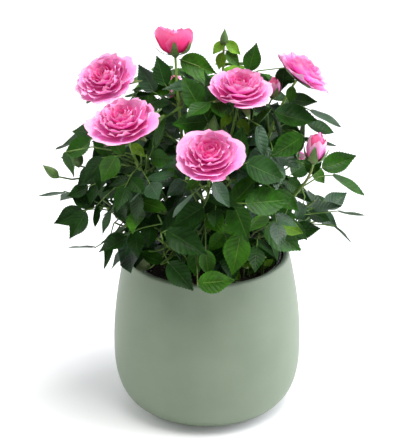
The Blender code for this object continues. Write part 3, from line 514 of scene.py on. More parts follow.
def try_leaf(shoot, space, limb, leaf, loose, least, fine=False, colour=None):
    """Adds a leaf with every leaflet that is clear, or leaves it out."""
    clearance = FINE_CLEARANCE if fine else LEAFLET_CLEARANCE
    stalk, leaflets = leaf
    tube = guard_limb(stalk, (FINE_STALK_RADIUS if fine else STALK_RADIUS) + clearance)
    if not in_crown(stalk, loose) or not space.is_free(*tube, (limb,)):
        return False
    kept = []
    own = Clearance()
    for matrix, side in leaflets:
        guard = guard_leaflet(matrix, clearance)
        room = (colour and side is None) or not is_open(guard[0])
        if room and in_crown(guard[0], loose) and space.is_free(*guard) and own.is_free(*guard):
            kept.append((matrix, guard))
            own.add(side, *guard)
        elif side is None:
            return False
    if len(kept) < least:
        return False
    owner = ("stalk", len(space.things))
    space.add(owner, *tube)
    for _, guard in kept:
        space.add(owner, *guard)
    leaves = shoot.fine if fine else shoot.leaves
    leaves.append((stalk, [matrix for matrix, _ in kept], colour))
    shoot.leaflets += 0 if fine else len(kept)
    return True


def free_leaf(shoot, space, limb, base, way, turn, length, count, chance, tries=30, fine=False):
    """Tries a leaf at a node of a limb, in many attitudes, smaller as they fail."""
    for attempt in range(tries):
        side = sideways(way, turn + chance.uniform(-0.7, 0.7) * (attempt > 0))
        away = outward(base)
        heading = (side + away * 0.65 + way * 0.45).normalized()
        if heading.dot(away) < -0.35:
            turn += 0.9
            continue
        size = length * (1 - 0.012 * attempt)
        count = count if attempt < 12 else 3
        span = size * (1 + PAIR_START + PAIR_SPACING * (count - 3) / 2 + chance.uniform(0.15, 0.4))
        sag = Vector((0, 0, -1)) * chance.uniform(0.0, 0.75)
        tip = base + (heading + sag).normalized() * span
        wobble = Vector([chance.uniform(-0.35, 0.35) for _ in range(3)])
        face = (Vector((0, 0, 0.75)) + away * 0.55 + wobble).normalized()
        leaf = compound_leaf(base, heading, tip, face, size, count, chance)
        loose = FINE_REACH if fine else 1.0
        if try_leaf(shoot, space, limb, leaf, loose, 3 if attempt < 20 else 2, fine):
            return True
    return False


def free_twig(shoot, space, share, turn, chance, usual=SIDE_TWIG_LENGTH):
    """Tries a side twig at a place on a stem, and gives it back where it has room."""
    base, way = shoot.node(share)
    for attempt in range(10):
        side = sideways(way, turn + 0.7 * attempt)
        out = (side * 0.8 + outward(base) * 0.6 + way * 0.5).normalized()
        length = usual * chance.uniform(0.8, 1.3)
        tip = base + (out + Vector((0, 0, 0.35))).normalized() * length
        twig = bend(base, out * length * 0.4, way * length * 0.2, tip, 4)
        tube = guard_limb(twig, TWIG_GUARD)
        if in_crown(twig, TWIG_REACH) and space.is_free(*tube, (shoot.name,)):
            owner = shoot.add_twig(twig)
            space.add(owner, *tube)
            return owner, twig
    return None


def attachments(shoots, tip, heel):
    """Places on the stems that could carry an end leaflet, the best placed first."""
    places = []
    for shoot in shoots.values():
        for step in range(1, 24):
            share = MASS_START + (HEAD_START - 0.04 - MASS_START) * step / 23
            gap = heel - shoot.node(share)[0]
            turn = 1 - gap.normalized().dot((tip - heel).normalized())
            badness = abs(gap.length - AIMED_STALK) + turn * AIMED_STALK * 0.5
            places.append((badness, shoot.name, share))
    return sorted(places)


def aim_leaf(shoots, space, tip, heel, face, count, colour, chance):
    """A leaf whose end leaflet runs from heel to tip, on the stem that carries it best.

    Where it has no room it slides nearer or further, along the slope of the openings."""
    for slide in AIM_SLIDES:
        shift = Vector((0, -1, OPENING_SLOPE)) * slide * MM
        for _, name, share in attachments(shoots, tip + shift, heel + shift)[:40]:
            shoot = shoots[name]
            base, way = shoot.node(share)
            heading = ((heel + shift - base).normalized() + way * 0.5).normalized()
            leaf = compound_leaf(base, heading, tip + shift, face, (tip - heel).length,
                                 count, chance, heel + shift)
            if try_leaf(shoot, space, name, leaf, AIMED_REACH, 1, colour=colour):
                shoot.knots.append(share * shoot.total)
                return


def nodes_along(spot, end, spacing, turn, chance):
    """Places along a limb that could bear a leaf: a rank, the distance and the turn."""
    count = 0
    while spot < end:
        yield chance.random(), spot, turn + count * GOLDEN_ANGLE
        spot += spacing * chance.uniform(0.85, 1.15)
        count += 1


def plant(space):
    """Every shoot's stem and head, which the leaves have to keep clear of."""
    shoots = {}
    for name, turn, lean, head, facing, kind, width in SHOOTS:
        facing = Vector(facing).normalized()
        shoot = Shoot(name, turn, lean, place(head), facing, kind, width * MM)
        shoots[name] = shoot
        last = HEAD_START * shoot.total if kind else shoot.total
        limb = stretch(shoot.path, 0, last, 12)
        space.add(name, *guard_tube(limb, CANE_RADIUS + LIMB_CLEARANCE))
        if kind:
            stalk = stretch(shoot.path, last - 2 * MM, shoot.total, 5)
            space.add(name + "_head", *guard_tube(stalk, STEM_TIP_RADIUS + LIMB_CLEARANCE))
            space.add(name + "_head", *guard_head(shoot.head_spot(), kind, width * MM))
    return shoots


def fork(shoots, space):
    """The twigs that end in a bud, and the middle of each as a node for a leaf."""
    nodes = []
    for name, share, tip, facing, kind, width in TWIGS:
        shoot = shoots[name]
        base, way = shoot.node(share)
        tip, facing = place(tip), Vector(facing)
        span = (tip - base).length
        out = (tip - base).normalized() * 0.7 + way * 0.3
        twig = bend(base, out * span * 0.35, facing * span * 0.25, tip, 5)
        owner = shoot.add_twig(twig)
        spot = frame_matrix(tip, facing, Vector((0, 1, 0)))
        shoot.buds.append((spot, kind, width * MM))
        space.add(owner, *guard_limb(twig, TWIG_GUARD))
        space.add(owner, *guard_head(spot, kind, width * MM))
        nodes.append((-1.0, len(nodes), shoot, owner, twig, 0.5 * reach(twig), 1.0))
    return nodes


def grow():
    """Every shoot with its twigs and main leaves, each clear of all the others."""
    space = Clearance()
    shoots = plant(space)
    nodes = fork(shoots, space)
    for i, (tip, heel, face, count, colour) in enumerate(AIMED_LEAVES):
        aim_leaf(shoots, space, place(tip), place(heel), Vector(face), count, colour,
                 random.Random(100 + i))
    for order, shoot in enumerate(shoots.values()):
        chance = random.Random(order)
        for count, share in enumerate(SIDE_TWIGS):
            turn = order + (count + 0.5) * GOLDEN_ANGLE
            grown = free_twig(shoot, space, share, turn, chance)
            if grown:
                owner, twig = grown
                for k, part in enumerate(TWIG_NODES):
                    rank = 0.5 * chance.random() - share
                    spot = part * reach(twig)
                    nodes.append((rank, len(nodes), shoot, owner, twig, spot, k * GOLDEN_ANGLE))
        start = MASS_START * shoot.total + STEM_LEAF_START
        for rank, spot, turn in nodes_along(start, shoot.leaf_end, NODE_SPACING, order, chance):
            rank = 0.5 * rank - spot / shoot.total
            nodes.append((rank, len(nodes), shoot, shoot.name, shoot.path, spot, turn))
    chance = random.Random(7)
    for *_, shoot, limb, line, spot, turn in sorted(nodes, key=lambda n: n[:2]):
        if shoot.leaflets >= MOST_LEAFLETS:
            continue
        base, way = at(line, spot)
        length = chance.uniform(*LEAF_LENGTHS) * MM * (TWIG_LEAF_SIZE if "_twig" in limb else 1.0)
        number = chance.choice(LEAF_COUNTS)
        if free_leaf(shoot, space, limb, base, way, turn, length, number, chance):
            shoot.knots.append(spot if limb == shoot.name else 0.0)
    return shoots, space


def grow_bracts(shoots):
    """The small young leaves on the stems of heads."""
    for name, share, tip, heel, face, colour in BRACTS:
        base, way = shoots[name].node(share)
        tip, heel = place(tip), place(heel)
        stalk, leaflets = compound_leaf(base, way, tip, Vector(face), (tip - heel).length, 1,
                                        random, heel)
        shoots[name].fine.append((stalk, [leaflets[0][0]], colour))


def grow_finer(shoots, space):
    """More side twigs and smaller leaves by the same rule, in the room that is left."""
    nodes = []
    for order, shoot in enumerate(shoots.values()):
        chance = random.Random(50 + order)
        limbs = [(shoot.name, shoot.path, MASS_START * shoot.total + FINE_LEAF_START,
                  shoot.leaf_end)]
        limbs += [(shoot.twig_name(k), twig, TWIG_LEAF_START, reach(twig))
                  for k, twig in enumerate(shoot.twigs, 1)]
        for count, share in enumerate(FINE_TWIGS):
            turn = order + (count + 0.3) * GOLDEN_ANGLE
            grown = free_twig(shoot, space, share, turn, chance, FINE_TWIG_LENGTH)
            if grown:
                limbs.append((*grown, TWIG_LEAF_START, reach(grown[1])))
        for limb, line, start, end in limbs:
            for rank, spot, turn in nodes_along(start, end, FINE_SPACING, order + 0.5, chance):
                nodes.append((rank, len(nodes), shoot, limb, line, spot, turn))
    chance = random.Random(17)
    for *_, shoot, limb, line, spot, turn in sorted(nodes, key=lambda n: n[:2]):
        if sum(len(leaf[1]) for leaf in shoot.fine) >= FINE_LEAFLETS:
            continue
        base, way = at(line, spot)
        length = chance.uniform(*FINE_LENGTHS) * MM
        number = chance.choice(FINE_COUNTS)
        free_leaf(shoot, space, limb, base, way, turn, length, number, chance, FINE_TRIES, True)


def grow_sprouts(shoots):
    """Small pale shoots from the soil at the front right, kept with a low shoot's leaves."""
    chance = random.Random(41)
    for _ in range(SPROUTS):
        away = direction(chance.uniform(-70, -5), 90) * chance.uniform(30, 50) * MM
        foot = Vector((away.x, away.y, SOIL_LEVEL - 3 * MM))
        tall = chance.uniform(13, 25) * MM
        tip = foot + direction(chance.uniform(-180, 180), chance.uniform(0, 30)) * tall
        stalk, leaflets = compound_leaf(foot, Vector((0, 0, 1)), tip, Vector((0, -0.6, 0.8)),
                                        chance.uniform(7, 11) * MM, 3, chance)
        leaf = (stalk, [matrix for matrix, _ in leaflets], "young")
        shoots["low_right"].fine.append(leaf)


# ---------------------------------------------------------------- finishes

class Tone:
    """A shader socket that adds its Math nodes as it is used in an expression."""

    def __init__(self, finish, socket):
        self.finish = finish
        self.socket = socket

    def maths(self, operation, *values):
        settings = {"operation": operation}
        return self.finish.node("ShaderNodeMath", settings, dict(enumerate(values)))

    def __add__(self, other):
        return self.maths("ADD", self, other)

    def __sub__(self, other):
        return self.maths("SUBTRACT", self, other)

    def __rsub__(self, other):
        return self.maths("SUBTRACT", other, self)

    def __mul__(self, other):
        return self.maths("MULTIPLY", self, other)

    __radd__ = __add__
    __rmul__ = __mul__

    def size(self):
        return self.maths("ABSOLUTE", self)

    def wave(self):
        return self.maths("SINE", self)

    def between(self, low, high):
        """0 below low, 1 above high, and smooth between them."""
        settings = {"interpolation_type": "SMOOTHSTEP"}
        return self.finish.node("ShaderNodeMapRange", settings, {0: self, 1: low, 2: high})


class Nodes:
    """A node tree that is written as expressions."""

    def __init__(self, tree):
        self.tree = tree

    def node(self, kind, settings, values, output=0):
        node = self.tree.nodes.new(kind)
        for key, value in settings.items():
            setattr(node, key, value)
        for key, value in values.items():
            if isinstance(value, Tone):
                self.tree.links.new(value.socket, node.inputs[key])
            else:
                node.inputs[key].default_value = value
        return Tone(self, node.outputs[output])

    def split(self, vector):
        parts = self.node("ShaderNodeSeparateXYZ", {}, {0: vector}).socket.node
        return [Tone(self, parts.outputs[i]) for i in range(3)]


class Finish(Nodes):
    """A procedural material on a Principled shader, whose even numbers are set at once."""

    def __init__(self, name, even):
        self.material = bpy.data.materials.new(name)
        self.material.use_nodes = True
        super().__init__(self.material.node_tree)
        self.shader = self.tree.nodes["Principled BSDF"]
        for socket, value in even.items():
            self.shader.inputs[socket].default_value = value
        self.place = self.node("ShaderNodeTexCoord", {}, {}, "Object")
        self.map = self.node("ShaderNodeTexCoord", {}, {}, "UV")

    def grain(self, scale, detail=3.0, rough=0.5, where=None, stretch=(1, 1, 1)):
        """Fractal noise from 0 to 1, on the object's own coordinates unless told."""
        spot = self.node("ShaderNodeMapping", {}, {
            "Vector": where or self.place, "Scale": stretch})
        return self.node("ShaderNodeTexNoise", {}, {
            "Vector": spot, "Scale": scale, "Detail": detail, "Roughness": rough})

    def mix(self, share, first, second):
        """Two colours mixed by a share."""
        settings = {"data_type": "RGBA", "blend_type": "MIX", "clamp_factor": True}
        values = {0: share}
        for key, colour in ((6, first), (7, second)):
            values[key] = colour if isinstance(colour, Tone) else (*colour, 1.0)
        return self.node("ShaderNodeMix", settings, values, 2)

    def backs(self):
        """1 on the back of a face and 0 on its front."""
        return self.node("ShaderNodeNewGeometry", {}, {}, "Backfacing")

    def feed(self, socket, tone):
        self.tree.links.new(tone.socket, self.shader.inputs[socket])

    def done(self, colour, rough, height, distance, strength):
        """The material with its colour, roughness, and a bump of a height in metres."""
        self.feed("Base Color", colour)
        self.feed("Roughness", rough)
        bump = self.node("ShaderNodeBump", {}, {
            "Strength": strength, "Distance": distance, "Height": height}, "Normal")
        self.feed("Normal", bump)
        return self.material


def sage_glaze():
    """Matt sage glaze: even, with faint clouds, throwing rings and pinholes."""
    f = Finish("sage_glaze", {"Specular IOR Level": 0.42, "Coat Weight": 0.06,
                              "Coat Roughness": 0.45})
    clouds = f.grain(26, 4, 0.55)
    rings = f.grain(60, 2, 0.5, stretch=(0.15, 0.15, 2.4))
    specks = f.grain(1500, 1, 0.4).between(0.66, 0.76)
    colour = f.mix(clouds.between(0.3, 0.7), (0.160, 0.208, 0.138), (0.180, 0.230, 0.156))
    colour = f.mix(rings * 0.16, colour, (0.200, 0.248, 0.178))
    colour = f.mix(specks * 0.30, colour, (0.13, 0.18, 0.12))
    return f.done(colour, 0.40 + clouds * 0.16 + specks * 0.15,
                  rings * 0.8 + f.grain(900, 2) * 0.25 - specks * 0.4, 0.00012, 0.6)


def liner_plastic():
    """Black moulded plastic, scuffed and dusted with peat."""
    f = Finish("liner_plastic", {"Specular IOR Level": 0.75})
    dust = f.grain(420, 4, 0.65).between(0.52, 0.74)
    colour = f.mix(dust * 0.55, (0.009, 0.009, 0.010), (0.060, 0.050, 0.040))
    return f.done(colour, 0.22 + dust * 0.40, f.grain(1300, 2), 0.0001, 0.20)


def peat(name, dark, light):
    """Moist peat and its crumbs."""
    f = Finish(name, {"Specular IOR Level": 0.25})
    lumps = f.grain(520, 5, 0.7)
    fibres = f.grain(900, 3, 0.6, stretch=(1.0, 0.25, 1.0)).between(0.50, 0.72)
    colour = f.mix(lumps.between(0.35, 0.7), dark, light)
    colour = f.mix(fibres * 0.30, colour, [c * 2.2 for c in light])
    return f.done(colour, 0.80 + lumps * 0.18, lumps, 0.0012, 0.8)


def cane_bark():
    """Green rose bark, brown and corky near the soil, red where the sun gets at it."""
    f = Finish("cane_bark", {"Specular IOR Level": 0.4})
    height = f.split(f.place)[2]
    streaks = f.grain(240, 4, 0.6, stretch=(1, 1, 0.18))
    green = f.mix(streaks, (0.070, 0.135, 0.022), (0.150, 0.240, 0.055))
    young = f.mix(height.between(0.18, 0.25), green, (0.210, 0.370, 0.060))
    blush = f.grain(38, 2).between(0.56, 0.74) * 0.35
    young = f.mix(blush, young, (0.210, 0.085, 0.045))
    cork = f.mix(streaks, (0.055, 0.034, 0.018), (0.155, 0.110, 0.065))
    old = 1 - (height + (streaks - 0.5) * 0.03).between(0.118, 0.150)
    return f.done(f.mix(old, young, cork), 0.42 + old * 0.40,
                  streaks + old * f.grain(700, 4, 0.7), 0.0004, 0.7)


def leaf_stalk():
    """Thin green bark, flushed with red in places."""
    f = Finish("leaf_stalk", {"Specular IOR Level": 0.4})
    tone = f.grain(130, 3)
    colour = f.mix(tone.between(0.3, 0.7), (0.052, 0.125, 0.014), (0.150, 0.265, 0.045))
    colour = f.mix(f.grain(30, 2).between(0.56, 0.74) * 0.35, colour, (0.190, 0.085, 0.040))
    return f.done(colour, 0.42 + tone * 0.15, f.grain(900, 2), 0.00015, 0.5)


def leaf_green(name, blade, vein, gloss):
    """A rose leaflet: pale midrib and side veins, quilted between them, dull beneath."""
    f = Finish(name, {"Specular IOR Level": gloss})
    along, across, _ = f.split(f.map)
    away = (across - 0.5).size() * 2
    rib = 1 - away.between(0.015, 0.065)
    side = ((along - away * 0.20) * 50.3).wave()
    veins = side.between(0.80, 1.0) * (1 - away.between(0.55, 1.0))
    mottle = f.grain(95, 4, 0.6)
    shade, light = [c * 0.62 for c in blade], [c * 1.35 for c in blade]
    colour = f.mix(mottle.between(0.30, 0.72), shade, light)
    colour = f.mix(away.between(0.70, 1.0) * 0.30, colour, [c * 1.6 for c in blade])
    colour = f.mix(veins * 0.10, colour, vein)
    colour = f.mix(rib * 0.50, colour, vein)
    back = f.backs()
    under = f.mix(rib * 0.5, [0.045 + c * 1.10 for c in blade], vein)
    colour = f.mix(back, colour, under)
    return f.done(colour, 0.30 + mottle * 0.20 + back * 0.25,
                  0.3 * side - veins * 0.4 - rib + mottle * 1.6, 0.0005, 0.50)


def petal_pink(name, throat, body, edge):
    """A rose petal: deep at its root, pale at its edge, finely streaked along."""
    # The emission paints a glow into the petals in the throat colour, in place of light coming
    # through them
    f = Finish(name, {"Specular IOR Level": 0.14, "Subsurface Weight": 0.45,
                      "Subsurface Radius": (1.0, 0.25, 0.55), "Subsurface Scale": 0.0015,
                      "Emission Color": (*throat, 1.0), "Emission Strength": PAINTED_PETAL_GLOW})
    across, along, _ = f.split(f.map)
    rim = (across - 0.5).size() * 2
    streaks = f.grain(9, 3, 0.6, where=f.map, stretch=(4.5, 0.6, 1))
    blotch = f.grain(120, 3)
    height = along + (streaks - 0.5) * 0.34 + (blotch - 0.5) * 0.14
    colour = f.mix(height.between(0.18, 0.66), throat, body)
    pale = height.between(0.62, 0.98) * 0.95 + rim.between(0.70, 1.0) * 0.40
    colour = f.mix(pale, colour, edge)
    back = f.backs()
    colour = f.mix(back * 0.30, colour, [0.15 + 0.82 * c for c in body])
    return f.done(colour, 0.50 + blotch * 0.15, streaks + f.grain(300, 2) * 0.4, 0.0003, 0.45)


def sepal_green(name, blade, tint):
    """The green of hips, sepals and closed buds, flushed with another tint."""
    f = Finish(name, {"Specular IOR Level": 0.4, "Sheen Weight": 0.15})
    tone = f.grain(220, 3)
    colour = f.mix(tone.between(0.3, 0.7), blade, [c * 1.5 for c in blade])
    colour = f.mix(f.grain(60, 2).between(0.48, 0.72) * 0.5, colour, tint)
    return f.done(colour, 0.50 + tone * 0.12, tone, 0.0002, 0.5)


# ---------------------------------------------------------------- modelling tools

def link(name, data):
    """A new object in the scene."""
    thing = bpy.data.objects.new(name, data)
    bpy.context.scene.collection.objects.link(thing)
    return thing


def keep(mesh, name, finishes, slot, *nodes):
    """Makes a piece of a mesh, rides it on the pot's body, and hides the parts that it replaces.
    """
    mesh.name = name
    piece = link(name, mesh)
    for finish in finishes:
        mesh.materials.append(finish)
    mesh.shade_smooth()
    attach(piece, "root")
    if nodes:
        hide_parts(*nodes)


def spun(profile, steps):
    """A mesh turned from a profile in (radius, height), which runs up the outside."""
    bm = bmesh.new()
    line = [bm.verts.new((r, 0, z)) for r, z in profile]
    edges = [bm.edges.new(pair) for pair in zip(line, line[1:])]
    bmesh.ops.spin(bm, geom=line + edges, axis=(0, 0, 1), cent=(0, 0, 0), dvec=(0, 0, 0),
                   angle=math.tau, steps=steps, use_merge=True)
    bmesh.ops.remove_doubles(bm, verts=bm.verts, dist=0.00001)
    bmesh.ops.recalc_face_normals(bm, faces=bm.faces)
    return bm


def to_mesh(bm):
    mesh = bpy.data.meshes.new("mesh")
    bm.to_mesh(mesh)
    bm.free()
    return mesh


def lay_out(bm, place_of):
    """Gives each corner of a face its place on the UV map."""
    layer = bm.loops.layers.uv.verify()
    for face in bm.faces:
        for loop in face.loops:
            loop[layer].uv = place_of(loop.vert.co)


class Shape:
    """A small mesh kept as arrays, so that it can be copied many times."""

    def __init__(self, bm):
        bm.verts.index_update()
        layer = bm.loops.layers.uv.verify()
        self.points = np.array([v.co[:] for v in bm.verts])
        self.faces = [[v.index for v in face.verts] for face in bm.faces]
        self.places = [tuple(loop[layer].uv) for face in bm.faces for loop in face.loops]
        bm.free()


class Gathering:
    """Many small shapes of one kind, gathered into one mesh from arrays."""

    def __init__(self):
        self.points = []
        self.faces = []
        self.places = []
        self.paints = []
        self.count = 0

    def add(self, shape, matrix, paint=0, points=None):
        points = shape.points if points is None else points
        turn = np.array(matrix.to_3x3())
        self.points.append(points @ turn.T + np.array(matrix.translation))
        self.faces += [[self.count + i for i in face] for face in shape.faces]
        self.places += shape.places
        self.paints += [paint] * len(shape.faces)
        self.count += len(points)

    def mesh(self):
        mesh = bpy.data.meshes.new("gathering")
        mesh.from_pydata(np.concatenate(self.points).tolist(), [], self.faces)
        layer = mesh.uv_layers.new(name="UVMap")
        layer.data.foreach_set("uv", np.array(self.places, np.float32).ravel())
        mesh.polygons.foreach_set("material_index", self.paints)
        return mesh


class Bundle:
    """Tapering limbs, each a spline of one curve."""

    def __init__(self, round_steps):
        self.curve = bpy.data.curves.new("bundle", "CURVE")
        self.curve.dimensions = "3D"
        self.curve.bevel_depth = MM
        self.curve.bevel_resolution = round_steps
        self.curve.use_fill_caps = True

    def add(self, points, radii):
        line = self.curve.splines.new("POLY")
        line.points.add(len(points) - 1)
        for spot, p, radius in zip(line.points, points, radii):
            spot.co = (*p, 1)
            spot.radius = radius / MM

    def mesh(self):
        holder = link("bundle", self.curve)
        bpy.context.view_layer.update()
        seen = holder.evaluated_get(bpy.context.evaluated_depsgraph_get())
        mesh = bpy.data.meshes.new_from_object(seen)
        bpy.data.curves.remove(self.curve)
        return mesh


# ---------------------------------------------------------------- the pot

def pot_radius(height):
    """The pot's outer radius at a height."""
    if height <= POT_BELLY_HEIGHT:
        t = height / POT_BELLY_HEIGHT
        rise = (1 - (1 - t) ** 2.91) ** (1 / 2.26)
        return POT_FOOT_RADIUS + (POT_RADIUS - POT_FOOT_RADIUS) * rise
    t = (height - POT_BELLY_HEIGHT) / (POT_HEIGHT - POT_BELLY_HEIGHT)
    return POT_RADIUS - (POT_RADIUS - POT_MOUTH_RADIUS) * t**1.8


def make_pot():
    """A bellied pot with an even wall, a round lip and a small flat foot."""
    shoulder = POT_HEIGHT - POT_LIP_ROUND
    profile = [(0.0, 0.0), (POT_FOOT_RADIUS - 2.0 * MM, 0.0)]
    for step in range(37):
        height = shoulder * (step / 36) ** 1.5
        profile.append((pot_radius(height), height if step else FOOT_EDGE))
    lip = pot_radius(shoulder) - POT_WALL / 2
    for step in range(1, 12):
        a = math.pi * step / 12
        rise = math.sin(a) * POT_LIP_ROUND
        profile.append((lip + math.cos(a) * POT_WALL / 2, shoulder + rise))
    for step in range(13):
        height = shoulder + (POT_FLOOR - shoulder) * step / 12
        profile.append((pot_radius(height) - POT_WALL, height))
    profile.append((0.0, POT_FLOOR))
    keep(to_mesh(spun(profile, 128)), "pot_glazed", [sage_glaze()], "sage_glaze", "pot")


def liner_radius(height):
    """The liner pot's outer radius at a height."""
    foot = POT_FLOOR + GAP
    share = (height - foot) / (LINER_TOP - foot)
    return LINER_FOOT_RADIUS + (LINER_RADIUS - LINER_LIP - LINER_FOOT_RADIUS) * share


def make_liner():
    """A thin tapered liner with a rolled lip and a stacking step below it."""
    foot = POT_FLOOR + GAP
    inside = foot + LINER_WALL
    step_level = LINER_TOP - 9 * MM
    roll = 0.9 * MM
    lip_low = LINER_TOP - 5 * MM
    profile = [(0.0, foot), (liner_radius(foot) - 1 * MM, foot),
               (liner_radius(foot), foot + 1 * MM), (liner_radius(lip_low), lip_low),
               (LINER_RADIUS - 0.4 * MM, lip_low), (LINER_RADIUS, lip_low + 0.4 * MM)]
    for step in range(7):
        a = math.pi * step / 6
        profile.append((LINER_RADIUS - roll * (1 - math.cos(a)),
                        LINER_TOP - roll * (1 - math.sin(a))))
    wall = liner_radius(step_level) - LINER_WALL
    profile += [(LINER_RADIUS - 2.2 * roll, LINER_TOP - 2.5 * MM),
                (wall + 0.9 * MM, step_level), (wall, step_level - 0.8 * MM),
                (liner_radius(inside) - LINER_WALL, inside), (0.0, inside)]
    mesh = to_mesh(spun(profile, 96))
    keep(mesh, "nursery_pot_moulded", [liner_plastic()], "black_plastic", "nursery_pot")


def soil_height(x, y):
    """The crumbly surface of the soil, sunk at its edge."""
    away = math.hypot(x, y) / liner_radius(SOIL_LEVEL)
    spot = Vector((x, y, 0))
    lumps = noise.fractal(spot * 160, 0.7, 2.0, 5) * 1.5 * MM
    swell = noise.noise(spot * 45) * 1.2 * MM
    return SOIL_LEVEL - 0.8 * MM - SOIL_EDGE_DROP * away**3 + lumps + swell


def make_soil():
    """Peat that fills the liner, with a lumpy top."""
    edge = liner_radius(SOIL_LEVEL) - LINER_WALL - GAP
    foot = POT_FLOOR + 2 * GAP + LINER_WALL
    profile = [(0.0, foot), (liner_radius(foot) - LINER_WALL - GAP, foot)]
    profile += [(edge * (1 - step / 40), SOIL_LEVEL) for step in range(41)]
    bm = spun(profile, 128)
    for corner in bm.verts:
        if corner.co.z > SOIL_LEVEL - 1 * MM:
            corner.co.z = soil_height(corner.co.x, corner.co.y)
    dark = peat("moist_soil", (0.011, 0.0070, 0.0048), (0.034, 0.022, 0.014))
    keep(to_mesh(bm), "soil_bed", [dark], "moist_soil", "soil")
    make_crumbs(edge)


def make_crumbs(edge):
    """Loose crumbs, chips of bark and grains of white grit, strewn over the soil."""
    chance = random.Random(3)
    crumb = bmesh.new()
    bmesh.ops.create_icosphere(crumb, subdivisions=1, radius=1)
    for corner in crumb.verts:
        corner.co *= chance.uniform(0.75, 1.15)
    crumb = Shape(crumb)
    chip = bmesh.new()
    bmesh.ops.create_cube(chip, size=1)
    bmesh.ops.bevel(chip, geom=chip.edges[:], offset=0.2, segments=1, profile=0.5,
                    affect="EDGES", material=-1)
    chip = Shape(chip)
    crumbs = Gathering()
    for _ in range(SOIL_CRUMBS):
        a = chance.uniform(0, math.tau)
        away = edge * math.sqrt(chance.random()) * 0.97
        x, y = away * math.cos(a), away * math.sin(a)
        angle = chance.uniform(0, math.tau)
        axis = Vector([chance.uniform(-1, 1) for _ in range(3)]).normalized()
        size = chance.uniform(0.35, 1.0) * MM * (2.0 if chance.random() < BIG_CRUMBS else 1.0)
        bark = chance.random() < BARK_CHIPS
        paint = chance.choice((1, 2)) if bark else chance.choice((0, 0, 0, 1))
        shape, wide = (chip, (3.6, 1.3, 0.7)) if bark else (crumb, (1.0, 0.8, 0.7))
        if chance.random() < WHITE_GRITS:
            shape, wide, paint = crumb, (1.3, 1.2, 1.0), 3
        spread = Matrix.Diagonal((*[size * w for w in wide], 1))
        spot = Matrix.Translation((x, y, soil_height(x, y) + size * 0.25))
        crumbs.add(shape, spot @ Matrix.Rotation(angle, 4, axis) @ spread, paint)
    paints = [peat(name, dark, light) for name, dark, light in CRUMB_PAINTS]
    keep(crumbs.mesh(), "soil_crumbs", paints, "moist_soil")


# ---------------------------------------------------------------- canes and stalks

def make_root_crown(bark):
    """The knuckled woody crown: a ball pulled into knobs, flared at the soil."""
    bm = bmesh.new()
    bmesh.ops.create_uvsphere(bm, u_segments=40, v_segments=24, radius=CROWN_RADIUS - 0.4 * MM)
    for corner in bm.verts:
        knobs = noise.fractal(corner.co * 160, 0.6, 2.0, 4) * 0.9 * MM
        corner.co += corner.co.normalized() * knobs
        flare = max(0.0, 1 - corner.co.z / (6 * MM)) if corner.co.z > 0 else 1.0
        spread = 1 + (CROWN_FLARE / CROWN_RADIUS - 1) * flare
        height = max(corner.co.z, 0.0) + SOIL_LEVEL + GAP
        corner.co = (corner.co.x * spread, corner.co.y * spread, height)
    bmesh.ops.remove_doubles(bm, verts=bm.verts, dist=0.00002)
    bmesh.ops.recalc_face_normals(bm, faces=bm.faces)
    keep(to_mesh(bm), "root_crown_gnarled", [bark], "old_wood", "root_crown")


def cane_width(shoot, spot):
    """A shoot's radius at a distance along it, swollen where leaves leave it."""
    share = spot / shoot.total
    foot = CANE_RADIUS * (1.1 if shoot.kind else 0.95)
    end = STEM_TIP_RADIUS * 0.92 if shoot.kind else STALK_RADIUS
    marks = ((0.0, foot), (MASS_START, CANE_RADIUS * 0.8), (HEAD_START, end), (1.0, end * 0.92))
    radius = end
    for (a, wide), (b, slim) in zip(marks, marks[1:]):
        if a <= share <= b:
            radius = wide + (slim - wide) * (share - a) / (b - a)
            break
    swells = [math.exp(-((spot - knot) / (1.3 * MM)) ** 2) for knot in shoot.knots]
    return radius * (1 + 0.28 * max(swells, default=0))


def make_canes(shoots, bark):
    """Every shoot from the crown to its head, with leaf knots and fine ridges."""
    bundle = Bundle(3)
    for shoot in shoots.values():
        steps = int(shoot.total / (1.6 * MM))
        spots = [shoot.total * i / steps for i in range(steps + 1)]
        points = [at(shoot.path, spot)[0] for spot in spots]
        bundle.add(points, [cane_width(shoot, spot) for spot in spots])
    mesh = bundle.mesh()
    for corner in mesh.vertices:
        ridges = noise.fractal(corner.co * Vector((1, 1, 0.25)) * 900, 0.6, 2.0, 3)
        corner.co += corner.normal * ridges * 0.12 * MM
    nodes = ["cane_" + name for name in shoots]
    keep(mesh, "canes_barked", [bark], "green_cane", *nodes)


def make_prickles(shoots, bark):
    """Small hooked prickles along the canes."""
    bm = bmesh.new()
    bmesh.ops.create_cone(bm, segments=5, radius1=0.55 * MM, radius2=0.05 * MM, depth=2.2 * MM,
                          cap_ends=False)
    for corner in bm.verts:
        rise = corner.co.z / MM + 1.1
        corner.co.x -= 0.10 * MM * rise * rise
        corner.co.z += 0.7 * MM
    prickle = Shape(bm)
    prickles = Gathering()
    chance = random.Random(11)
    lift = Matrix.Translation((0, 0, CANE_RADIUS * 0.7))
    for shoot in shoots.values():
        spot = PRICKLES_START
        while spot < shoot.total * PRICKLES_END:
            base, way = at(shoot.path, spot)
            turn = frame_matrix(base, way, sideways(way, chance.uniform(0, math.tau)))
            size = Matrix.Scale(chance.uniform(0.55, 1.0), 4)
            prickles.add(prickle, turn @ lift @ size)
            spot += chance.uniform(*PRICKLE_SPACING) * MM
    keep(prickles.mesh(), "prickles", [bark], "green_cane")


